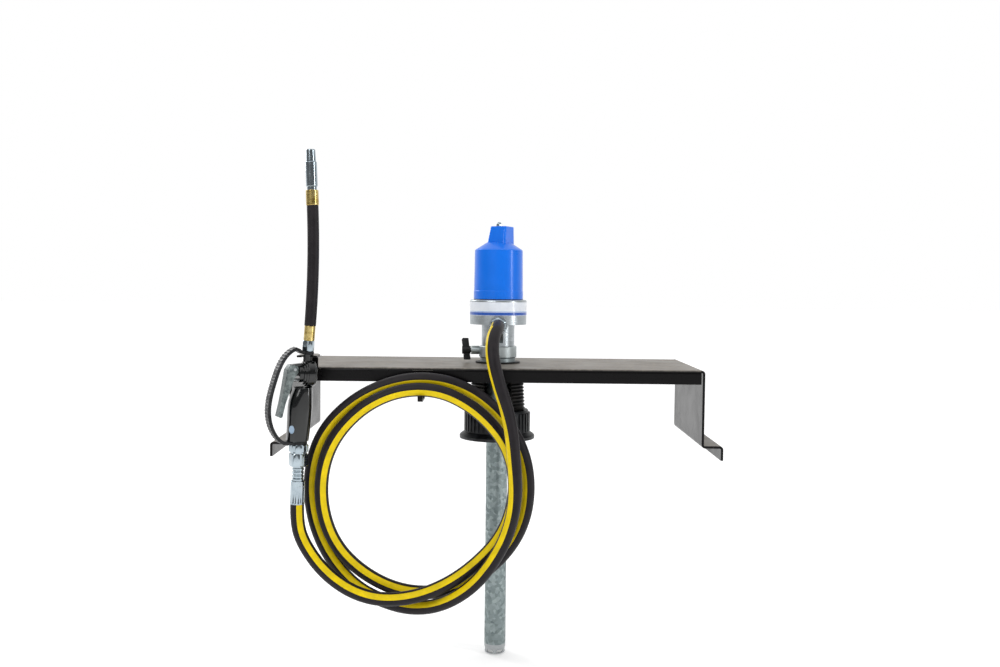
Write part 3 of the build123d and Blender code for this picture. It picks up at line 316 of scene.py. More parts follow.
def printed_vinyl(white, blue):
    """Printed vinyl label: satin white, with a fine pale line over a blue stripe near its lower edge."""
    material, tree, shader, place = begin("vinyl_label_printed")
    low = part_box("label_band")[0].z
    height = add(tree, "SeparateXYZ", {0: place}).outputs["Z"]
    faint = add(tree, "TexNoise", {"Vector": place, "Scale": per_metre(12), "Detail": 5.0})
    paper = add(tree, "Mix", {0: faint.outputs[0], 6: (*white, 1), 7: rgba("#cfd6e2")}, data_type="RGBA")
    shown = paper.outputs[2]
    for foot_mm, top_mm, ink in ((0.5, 5.6, blue), (6.4, 7.2, linear("#5f9bd8"))):
        above = add(tree, "Math", {0: height, 1: low + foot_mm * MM}, operation="GREATER_THAN")
        below = add(tree, "Math", {0: height, 1: low + top_mm * MM}, operation="LESS_THAN")
        inside = add(tree, "Math", {0: above.outputs[0], 1: below.outputs[0]}, operation="MULTIPLY")
        shown = add(tree, "Mix", {0: inside.outputs[0], 6: shown, 7: (*ink, 1)},
                    data_type="RGBA").outputs[2]
    tree.links.new(shown, shader.inputs["Base Color"])
    shader.inputs["Roughness"].default_value = 0.3
    shader.inputs["Coat Weight"].default_value = 0.3
    return material


def pressed_plate():
    """Pressed and zinc-plated sheet steel of the trigger: grey with darker handling marks."""
    material, tree, shader, place = begin("steel_pressed_plated")
    marks = add(tree, "TexNoise", {"Vector": place, "Scale": per_metre(7), "Detail": 8.0,
                                             "Roughness": 0.7})
    share = add(tree, "MapRange", {0: marks.outputs[0], 1: 0.36, 2: 0.66})
    colour = add(tree, "Mix", {0: share.outputs[0], 6: rgba("#454c4d"), 7: rgba("#8b9493")},
                 data_type="RGBA")
    rough = add(tree, "MapRange", {0: marks.outputs[0], 1: 0.3, 2: 0.7, 3: 0.26, 4: 0.5})
    bump = add(tree, "Bump", {"Height": marks.outputs[0], "Strength": 0.3, "Distance": 0.1 * MM})
    surface(tree, shader, colour, rough, bump)
    shader.inputs["Metallic"].default_value = 1.0
    return material


def wool_felt():
    """Pressed wool felt of the exhaust silencer: matt fibres, oatmeal grey."""
    material, tree, shader, place = begin("wool_felt_grey")
    fibre = add(tree, "TexNoise", {"Vector": place, "Scale": per_metre(0.9), "Detail": 8.0})
    colour = add(tree, "Mix", {0: fibre.outputs[0], 6: rgba("#6f6a5e"), 7: rgba("#a49d8c")},
                 data_type="RGBA")
    bump = add(tree, "Bump", {"Height": fibre.outputs[0], "Strength": 0.8, "Distance": 0.5 * MM})
    surface(tree, shader, colour, bump=bump)
    shader.inputs["Roughness"].default_value = 0.95
    shader.inputs["Sheen Weight"].default_value = 0.4
    return material


FINISHES = {}


def finish(name):
    """The material of a finish, made when it is first asked for."""
    colours = bpy.context.scene.oil_pump_colours
    makers = {
        "black_sheet": powder_coat,
        "blue_cover": lambda: stove_enamel(tuple(colours.cover)),
        "cast_aluminium": turned_aluminium,
        "grey_casting": diecast_grey,
        "label_white": lambda: printed_vinyl(tuple(colours.label), tuple(colours.band)),
        "nickel_steel": bright_plate,
        "zinc_steel": galvanised,
        "machined_steel": turned_steel,
        "mesh_steel": turned_steel,
        "brass": lambda: brass("brass_turned", "#d8c383", "#a98f4a"),
        "bronze": lambda: brass("bronze_bearing", "#b98a55", "#8a5f38"),
        "hose_rubber": lambda: hose_cover("rubber_hose_cover_black", "#131013", "#211d20"),
        "hose_stripe": lambda: hose_cover("rubber_hose_stripe_yellow", tuple(colours.stripe), "#cdb40a"),
        "seal_rubber": lambda: moulded("nitrile_black", "#101011", "#2a2a2b", 0.45, 0.8, 0.05),
        "boot_rubber": lambda: moulded("neoprene_boot_black", "#0c0c0d", "#3a3733", 0.4, 1.5, 0.15),
        "black_plastic": lambda: moulded("nylon_moulded_black", "#111214", "#35373a", 0.34, 0.9, 0.06),
        "gun_black": gloss_lacquer,
        "badge_enamel": lambda: moulded("enamel_badge_pale", "#8fa6bd", "#a9bccd", 0.2, 1.2, 0.01),
        "pressed_steel": pressed_plate,
        "felt": wool_felt,
    }
    if name not in FINISHES:
        FINISHES[name] = makers[name]()
    return FINISHES[name]


# ---------------------------------------------------------------- mesh helpers
def smooth(mesh, angle=32):
    """Round the shading, and keep edges sharper than an angle crisp."""
    mesh.polygons.foreach_set("use_smooth", [True] * len(mesh.polygons))
    mesh.set_sharp_from_angle(angle=radians(angle))
    mesh.update()


def piece(name, vertices, faces, body, slot, node=()):
    """A new mesh piece on a body, with its finish, in place of the CAD nodes that it stands for."""
    mesh = bpy.data.meshes.new(name)
    mesh.from_pydata(vertices, [], faces)
    mesh.validate()
    made = bpy.data.objects.new(name, mesh)
    bpy.context.scene.collection.objects.link(made)
    smooth(mesh)
    mesh.materials.append(finish(slot))
    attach(made, body)
    if node:
        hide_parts(*node)
    return made


def dress(names, slot, bevel_mm=0.0):
    """Give carried-over nodes their finish, and round their edges by a small amount."""
    for name in names:
        node = NODES[name]
        node.data.materials.clear()
        node.data.materials.append(finish(slot))
        if bevel_mm:
            weld = node.modifiers.new("weld", "WELD")
            weld.merge_threshold = 1e-6
            bevel = node.modifiers.new("edge", "BEVEL")
            bevel.width = bevel_mm * MM
            bevel.segments = 2
            bevel.limit_method = "ANGLE"
            bevel.angle_limit = radians(34)
            bevel.use_clamp_overlap = True
            shade = node.modifiers.new("shade", "WEIGHTED_NORMAL")
            shade.keep_sharp = False
            shade.weight = 80


def skin(rings, sides, closed=False):
    """Faces round a stack of rings of points: joined end to end, or else capped at both ends."""
    spans = rings if closed else rings - 1
    faces = [(ring * sides + step, ring * sides + (step + 1) % sides,
              (ring + 1) % rings * sides + (step + 1) % sides, (ring + 1) % rings * sides + step)
             for ring in range(spans) for step in range(sides)]
    if not closed:
        last = (rings - 1) * sides
        faces += [tuple(reversed(range(sides))), tuple(range(last, last + sides))]
    return faces


def frame_of(origin, axis, side):
    """Matrix with its z along an axis and its x as near as may be to a side direction."""
    z = Vector(axis).normalized()
    x = Vector(side) - z * z.dot(Vector(side))
    x.normalize()
    y = z.cross(x)
    return Matrix.Translation(Vector(origin)) @ Matrix((x, y, z)).transposed().to_4x4()


TURNED_SIDES = 96


def turned(name, place, outline, body, slot, node=()):
    """A bored piece turned about its local z. The outline is a closed loop of (height, radius, flats) in mm,
    where flats is None or (count, half the size across them), and cuts the circle down to that prism."""
    vertices = []
    for height, radius, flats in outline:
        for step in range(TURNED_SIDES):
            turn = 2 * pi * step / TURNED_SIDES
            reach = radius
            if flats:
                sector = 2 * pi / flats[0]
                reach = min(radius, flats[1] / cos((turn + sector / 2) % sector - sector / 2))
            vertices.append(place @ (Vector((reach * cos(turn), reach * sin(turn), height)) * MM))
    return piece(name, vertices, skin(len(outline), TURNED_SIDES, closed=True), body, slot, node)


def hexagon(low, high, across, chamfer=1.4):
    """Outline of a hexagon bar with turned-down ends, from low to high along the axis."""
    flats = (6, across / 2)
    corner = across / sqrt(3)
    return [(low, across / 2 - 0.3, None), (low + chamfer, corner, flats), (high - chamfer, corner, flats),
            (high, across / 2 - 0.3, None)]


# ---------------------------------------------------------------- places taken from the joints
GUN = frame_of(JOINTS["gun_swivel"]["pos_m"], JOINTS["gun_swivel"]["axis"],
               Vector(JOINTS["gun_swivel"]["axis"]).cross(Vector(JOINTS["trigger_pull"]["axis"])))
OUTLET_LEAN = 4.4
OUTLET = frame_of(GUN @ Vector((10.2 * MM, 0, 226 * MM)),
                  (sin(radians(OUTLET_LEAN)), 0, cos(radians(OUTLET_LEAN))), (1, 0, 0))
PUMP_OUTLET = frame_of((0, -66 * MM, 196 * MM), (0, -1, 0), (1, 0, 0))


# ---------------------------------------------------------------- settings
class OilPumpColours(bpy.types.PropertyGroup):
    """Colours that come in other liveries."""
    cover: FloatVectorProperty(name="Cover", description="Enamel of the motor cover", subtype="COLOR", size=3,
                               min=0, max=1, default=linear("#0070e6"))
    label: FloatVectorProperty(name="Label", description="Ground colour of the label band", subtype="COLOR",
                               size=3, min=0, max=1, default=linear("#eef1f6"))
    band: FloatVectorProperty(name="Label stripe", description="Stripe printed on the label band",
                              subtype="COLOR", size=3, min=0, max=1, default=linear("#0f4fae"))
    stripe: FloatVectorProperty(name="Hose stripe", description="Stripe moulded into the hose cover",
                                subtype="COLOR", size=3, min=0, max=1, default=linear("#e6c800"))


class OilPumpHose(bpy.types.PropertyGroup):
    """Sizes of the delivery hose."""
    diameter: FloatProperty(name="Diameter", description="Outside diameter of the hose", unit="LENGTH",
                            default=0.022, min=0.01, max=0.04)
    length: FloatProperty(name="Length", description="Length of the hose along its middle", unit="LENGTH",
                          default=2.98, min=1.0, max=10.0)
    sides: IntProperty(name="Sides", description="Facets round the hose", default=28, min=14, max=56)
    stripe_sides: IntProperty(name="Stripe sides", description="Facets that the stripe covers", default=4,
                              min=1, max=10)


class OilPumpStudio(bpy.types.PropertyGroup):
    """The studio round the object."""
    key_power: FloatProperty(name="Key light", description="Power of the large front light", unit="POWER",
                             default=22.0, min=0.0)
    fill_power: FloatProperty(name="Fill lights", description="Power of the side and the back light",
                              unit="POWER", default=14.0, min=0.0)
    sky: FloatProperty(name="Sky", description="Brightness of the white surroundings", default=1.0, min=0.0)
    dim: FloatProperty(name="Dim side", description="Brightness of the surroundings behind the camera",
                       default=0.2, min=0.0)


# ---------------------------------------------------------------- stage
CAMERA_PLACE = (0.0035, -1.760, 0.263)
CAMERA_PITCH = 2.72
CAMERA_ROLL = 0.6
FLOOR_REACH = 30.0


class OILPUMP_OT_stage(bpy.types.Operator):
    """Add the floor, the soft lights and the camera"""
    bl_idname = "oilpump.stage"
    bl_label = "Stage"

    def execute(self, context):
        scene = context.scene
        studio = scene.oil_pump_studio
        lens = bpy.data.cameras.new("camera")
        lens.lens = 36
        lens.sensor_width = 36
        camera = bpy.data.objects.new("camera", lens)
        scene.collection.objects.link(camera)
        camera.matrix_world = (Matrix.Translation(CAMERA_PLACE)
                               @ Matrix.Rotation(radians(90 - CAMERA_PITCH), 4, "X")
                               @ Matrix.Rotation(radians(CAMERA_ROLL), 4, "Z"))
        scene.camera = camera
        self.add_floor(scene)
        self.add_lights(scene, studio)
        return {"FINISHED"}

    def add_floor(self, scene):
        """A wide pale floor just under the foot of the suction tube."""
        low = CAD_BOX[0].z - 2 * MM
        mesh = bpy.data.meshes.new("floor")
        corners = [(-1, -1), (1, -1), (1, 1), (-1, 1)]
        mesh.from_pydata([(x * FLOOR_REACH, y * FLOOR_REACH, low) for x, y in corners], [], [(0, 1, 2, 3)])
        floor = bpy.data.objects.new("floor", mesh)
        scene.collection.objects.link(floor)
        material, tree, shader, place = begin("floor_pale")
        mottle = add(tree, "TexNoise", {"Vector": place, "Scale": per_metre(900), "Detail": 3.0})
        colour = add(tree, "Mix", {0: mottle.outputs[0], 6: rgba("#efefef"), 7: rgba("#f6f6f6")},
                     data_type="RGBA")
        surface(tree, shader, colour)
        shader.inputs["Roughness"].default_value = 0.9
        shader.inputs["Specular IOR Level"].default_value = 0.0
        shader.inputs["Emission Color"].default_value = (1, 1, 1, 1)
        shader.inputs["Emission Strength"].default_value = 0.3
        mesh.materials.append(material)

    def add_lights(self, scene, studio):
        """White surroundings, a large front light, a strip from the right and a light behind on the left."""
        world = bpy.data.worlds.new("white_studio")
        world.use_nodes = True
        tree = world.node_tree
        tree.nodes.clear()
        # bright behind the object and overhead, dimmer behind the camera: metal has something to mirror
        heading = add(tree, "SeparateXYZ", {0: add(tree, "TexCoord").outputs["Generated"]})
        ahead = add(tree, "MapRange",
                    {0: heading.outputs["Y"], 1: -0.1, 2: 0.6, 3: studio.dim, 4: studio.sky})
        over = add(tree, "MapRange",
                   {0: heading.outputs["Z"], 1: 0.4, 2: 0.95, 3: 0.0, 4: studio.sky * 1.4})
        level = add(tree, "Math", {0: ahead.outputs[0], 1: over.outputs[0]}, operation="MAXIMUM")
        sky = add(tree, "Background", {"Color": (1, 1, 1, 1), "Strength": level.outputs[0]})
        add(tree, "OutputWorld", {"Surface": sky.outputs[0]})
        scene.world = world
        scene.view_settings.view_transform = "Standard"
        middle = (CAD_BOX[0] + CAD_BOX[1]) / 2
        for name, place, power, width, height in (
                ("key", (-1.1, -2.0, 1.5), studio.key_power, 1.2, 1.2),
                ("side_strip", (1.9, -0.9, 0.7), studio.fill_power, 0.3, 1.6),
                ("back_left", (-1.6, 1.4, 1.2), studio.fill_power, 0.8, 1.2)):
            lamp = bpy.data.lights.new(name, "AREA")
            lamp.shape = "RECTANGLE"
            lamp.size, lamp.size_y = width, height
            lamp.energy = power
            light = bpy.data.objects.new(name, lamp)
            scene.collection.objects.link(light)
            light.location = place
            light.rotation_euler = (middle - Vector(place)).to_track_quat("-Z", "Y").to_euler()


# ---------------------------------------------------------------- delivery hose
# Route in metres: out of the pump, down in front of the bridge, round its turns, up to the gun.
HOSE_ROUTE = [
    (0, -0.1, 0.196), (0, -0.133, 0.196), (-0.008, -0.164, 0.181), (-0.009, -0.184, 0.153),
    (0.001, -0.192, 0.112), (0.02, -0.196, 0.056), (0.028, -0.198, -0.009), (0.031, -0.198, -0.073),
    (0.02, -0.197, -0.128), (-0.005, -0.194, -0.177), (-0.039, -0.19, -0.219), (-0.087, -0.173, -0.252),
    (-0.136, -0.166, -0.26), (-0.184, -0.16, -0.249), (-0.227, -0.156, -0.228), (-0.266, -0.153, -0.186),
    (-0.292, -0.151, -0.134), (-0.303, -0.15, -0.077), (-0.299, -0.15, -0.023), (-0.282, -0.15, 0.023),
    (-0.249, -0.15, 0.062), (-0.204, -0.149, 0.093), (-0.149, -0.148, 0.111), (-0.093, -0.148, 0.111),
    (-0.043, -0.148, 0.094), (-0.001, -0.15, 0.063), (0.03, -0.151, 0.023), (0.048, -0.152, -0.021),
    (0.053, -0.152, -0.069), (0.046, -0.152, -0.116), (0.026, -0.152, -0.158), (-0.008, -0.15, -0.196),
    (-0.052, -0.149, -0.226), (-0.106, -0.149, -0.24), (-0.163, -0.152, -0.233), (-0.217, -0.158, -0.203),
    (-0.258, -0.163, -0.16), (-0.279, -0.166, -0.106), (-0.282, -0.167, -0.05), (-0.27, -0.167, -0.001),
    (-0.243, -0.167, 0.041), (-0.202, -0.167, 0.076), (-0.151, -0.167, 0.096), (-0.096, -0.167, 0.096),
    (-0.049, -0.168, 0.076), (-0.009, -0.17, 0.043), (0.019, -0.171, 0.004), (0.031, -0.172, -0.044),
    (0.027, -0.172, -0.094), (0.01, -0.173, -0.137), (-0.02, -0.174, -0.173), (-0.06, -0.176, -0.206),
    (-0.104, -0.188, -0.226), (-0.148, -0.193, -0.236), (-0.194, -0.193, -0.236), (-0.237, -0.193, -0.22),
    (-0.276, -0.191, -0.19), (-0.306, -0.184, -0.151), (-0.3183, -0.178, -0.119), (-0.3175, -0.178, -0.088)]
HOSE_LOOPS = slice(12, 52)
HOSE_BODY = "pump_and_bridge"
# how far the stripe is turned from the front towards the inside of the loops, along the hose
STRIPE_TURN = [(0.0, 70), (0.05, 68), (0.085, 50), (0.12, 36), (0.2, 40), (0.3, 24), (0.4, 26), (0.47, 34),
               (0.55, 30), (0.66, 24), (0.76, 22), (0.84, 30), (0.92, 32), (1.0, 30)]


def follow(route):
    """Points of a NURBS line through free air with the route's points as its control points."""
    line = bpy.data.curves.new("route", "CURVE")
    line.dimensions = "3D"
    line.resolution_u = 12
    spline = line.splines.new("NURBS")
    spline.points.add(len(route) - 1)
    for point, place in zip(spline.points, route):
        point.co = (*place, 1.0)
    spline.order_u = 3
    spline.use_endpoint_u = True
    holder = bpy.data.objects.new("route", line)
    bpy.context.scene.collection.objects.link(holder)
    read = bpy.data.meshes.new_from_object(holder.evaluated_get(bpy.context.evaluated_depsgraph_get()))
    points = [vertex.co.copy() for vertex in read.vertices]
    bpy.data.objects.remove(holder)
    bpy.data.curves.remove(line)
    bpy.data.meshes.remove(read)
    return points


def along(table, share):
    """Value at a share of the length, eased between the table's entries."""
    for (low, first), (high, last) in zip(table, table[1:]):
        if share <= high:
            step = max(0.0, (share - low) / (high - low))
            return first + (last - first) * step * step * (3 - 2 * step)
    return table[-1][1]


class OILPUMP_OT_hose(bpy.types.Operator):
    """Lay the delivery hose along its route, with the stripe on the inside of its turns"""
    bl_idname = "oilpump.hose"
    bl_label = "Delivery hose"

    def execute(self, context):
        settings = context.scene.oil_pump_hose
        sides = settings.sides
        radius = settings.diameter / 2
        points = follow(HOSE_ROUTE)
        loops = [Vector(p) for p in HOSE_ROUTE[HOSE_LOOPS]]
        middle = sum(loops, Vector()) / len(loops)
        run = [0.0]
        for before, after in zip(points, points[1:]):
            run.append(run[-1] + (after - before).length)
        vertices, lay = [], []
        for index, point in enumerate(points):
            ahead = points[min(index + 1, len(points) - 1)] - points[max(index - 1, 0)]
            ahead.normalize()
            inward = middle - point
            inward.y = 0
            front = Vector((0, -1, 0)) if abs(ahead.y) < 0.9 else Vector((0, -1, 0.6))
            front = (front - ahead * ahead.dot(front)).normalized()
            inward -= ahead * ahead.dot(inward)
            inward = (inward - front * front.dot(inward)).normalized()
            if index and inward.dot(side_before) < 0:
                inward = -inward
            side_before = inward
            turn = radians(along(STRIPE_TURN, run[index] / run[-1]))
            stripe = front * cos(turn) + inward * sin(turn)
            across = ahead.cross(stripe)
            for step in range(sides):
                angle = 2 * pi * step / sides
                vertices.append(point + (stripe * cos(angle) + across * sin(angle)) * radius)
                lay.append((angle * radius, run[index], 0.0))
        hose = piece("hose", vertices, skin(len(points), sides), HOSE_BODY, "hose_rubber", ["delivery_hose"])
        mesh = hose.data
        mesh.materials.append(finish("hose_stripe"))
        attribute = mesh.attributes.new("hose_lay", "FLOAT_VECTOR", "POINT")
        attribute.data.foreach_set("vector", [value for point in lay for value in point])
        half = settings.stripe_sides // 2
        for number, face in enumerate(mesh.polygons):
            step = number % sides
            if number < len(mesh.polygons) - 2 and (step < half or step >= sides - half):
                face.material_index = 1
        self.add_pump_ferrule()
        self.add_gun_ferrule()
        return {"FINISHED"}

    def add_pump_ferrule(self):
        """Swaged ferrule at the pump, crimped in eight flats."""
        ferrule = frame_of((0, -0.1, 0.196), (0, 1, 0), (1, 0, 0))
        flats = (8, 11.6)
        outline = [(0, 11.6, None), (0.6, 12.2, None), (2.6, 12.2, None), (3.2, 11.9, flats),
                   (10.6, 11.9, flats), (11.2, 12.2, None), (13.6, 12.2, None), (14, 8, None),
                   (18, 8, None), (18, 4.6, None), (0, 4.6, None)]
        return turned("ferrule_at_pump", ferrule, outline, HOSE_BODY, "nickel_steel", ["pump_end_ferrule"])

    def add_gun_ferrule(self):
        """Swaged ferrule and ribbed tail at the gun."""
        flats = (8, 10.8)
        outline = [(0, 10.9, None), (0.5, 11.4, None), (3.4, 11.4, None), (4.2, 11.6, flats),
                   (30, 11.6, flats), (30.8, 11.4, None), (37, 11.4, None), (38, 10.4, None), (38, 9, None),
                   (41, 9, None)]
        for ring in range(3):
            foot = 43 + 6 * ring
            outline += [(foot - 1.2, 8, None), (foot, 9.2, None), (foot + 3, 9.2, None),
                        (foot + 3.8, 8, None)]
        outline += [(60.6, 8, None), (60.6, 5, None), (0, 5, None)]
        return turned("ferrule_at_gun", GUN, outline, HOSE_BODY, "nickel_steel", ["gun_end_ferrule"])


# ---------------------------------------------------------------- bracket
class OILPUMP_OT_bracket(bpy.types.Operator):
    """Coat the bridge, the gun's hanger, the hose hook and their screws"""
    bl_idname = "oilpump.bracket"
    bl_label = "Bridge bracket"

    def execute(self, context):
        dress(["mounting_bridge"], "black_sheet", 0.5)
        dress(["gun_hanger", "hose_hook", "bracket_fasteners"], "black_sheet")
        return {"FINISHED"}


# ---------------------------------------------------------------- air motor
class OILPUMP_OT_motor(bpy.types.Operator):
    """Finish the air motor: cover, cap nut, label, base and air inlet"""
    bl_idname = "oilpump.motor"
    bl_label = "Air motor"

    def execute(self, context):
        dress(["motor_cover"], "blue_cover")
        dress(["label_band"], "label_white")
        dress(["base_casting"], "cast_aluminium")
        dress(["cover_gasket"], "seal_rubber")
        dress(["exhaust_muffler"], "felt")
        self.add_cap_nut()
        self.add_air_inlet()
        return {"FINISHED"}

    def add_cap_nut(self):
        """Domed cap nut on the cover's stud."""
        low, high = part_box("cover_nut")
        nut = Matrix.Translation(((low.x + high.x) / 2, (low.y + high.y) / 2, low.z))
        dome = [(5 + 3 * sin(radians(turn)), 4.0 * cos(radians(turn)), None) for turn in range(0, 80, 13)]
        bore = [(8, 0.4, None), (5, 0.4, None), (5, 3, None), (0, 3, None)]
        turned("cap_nut", nut, hexagon(0, 4.6, 9.2, 0.7) + dome + bore,
               "pump_and_bridge", "nickel_steel", ["cover_nut"])

    def add_air_inlet(self):
        """Hexagon air inlet adaptor at the rear, with its thread."""
        low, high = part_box("air_inlet_adaptor")
        inlet = frame_of((0, low.y, (low.z + high.z) / 2), (0, 1, 0), (1, 0, 0))
        outline = [(0, 3.5, None), (0, 6.6, None), (12, 6.6, None)] + hexagon(12, 32, 17)
        thread = [(32, 6.3, None)]
        for turn in range(13):
            thread += [(31.2 - turn, 5.5, None), (30.7 - turn, 5.9, None)]
        turned("air_inlet", inlet, outline + thread + [(18, 3.5, None)], "pump_and_bridge", "brass",
               ["air_inlet_adaptor"])


class OILPUMP_OT_inner_works(bpy.types.Operator):
    """Finish the parts inside the motor, the tube and the gun"""
    bl_idname = "oilpump.inner_works"
    bl_label = "Inner works"

    def execute(self, context):
        dress(["motor_cylinder", "cylinder_head", "air_piston"], "cast_aluminium")
        dress(["cylinder_seal", "piston_seal", "plunger_seal", "rod_seal"], "seal_rubber")
        dress(["rod_bush"], "bronze")
        dress(["clamp_pad"], "brass")
        dress(["cover_stud", "valve_spool", "trip_rod", "pump_rod", "rod_nut", "pump_plunger",
               "plunger_valve_seat", "plunger_ball", "foot_valve_ball", "ball_stop_pin", "valve_spring",
               "valve_stem"], "machined_steel")
        return {"FINISHED"}


# ---------------------------------------------------------------- oil end
class OILPUMP_OT_oil_end(bpy.types.Operator):
    """Finish the suction tube, the bung adaptor, its wing screw and the dust boot"""
    bl_idname = "oilpump.oil_end"
    bl_label = "Oil end"

    def execute(self, context):
        dress(["suction_tube"], "zinc_steel")
        dress(["foot_valve_body"], "machined_steel")
        dress(["suction_strainer"], "mesh_steel")
        dress(["bung_adaptor", "adaptor_locknut"], "grey_casting")
        dress(["adaptor_washer"], "seal_rubber")
        dress(["wing_screw"], "black_plastic", 0.8)
        dress(["tube_bellows"], "boot_rubber")
        dress(["boot_collar"], "black_plastic")
        return {"FINISHED"}


class OILPUMP_OT_outlet(bpy.types.Operator):
    """Make the pump's outlet union"""
    bl_idname = "oilpump.outlet"
    bl_label = "Pump outlet"

    def execute(self, context):
        adaptor = [(-14, 5.5, None), (-14, 9.3, None), (0, 9.3, None)] + hexagon(0, 8, 24, 1)
        turned("outlet_adaptor_bright", PUMP_OUTLET, adaptor + [(8, 8, None), (16, 8, None), (16, 5.5, None)],
               "pump_and_bridge", "nickel_steel", ["outlet_adaptor"])
        nut = hexagon(8.2, 20, 25, 1.2) + [(20, 6, None), (16, 6, None), (16, 8.1, None), (8.2, 8.1, None)]
        turned("union_nut_bright", PUMP_OUTLET, nut, "pump_and_bridge", "nickel_steel", ["outlet_nut"])
        return {"FINISHED"}


# ---------------------------------------------------------------- control gun
# the guard's middle line in the gun's own plane: out from the trigger's side, and height, in mm
GUARD_ROUTE = [(3.5, 242.1), (-3, 243.6), (-9, 249), (-18, 245), (-28, 235), (-37, 218), (-44.5, 193),
               (-50, 171), (-52, 150.5), (-49, 130), (-42, 114.6), (-34, 104.5), (-26, 98.9), (-10, 98.9)]


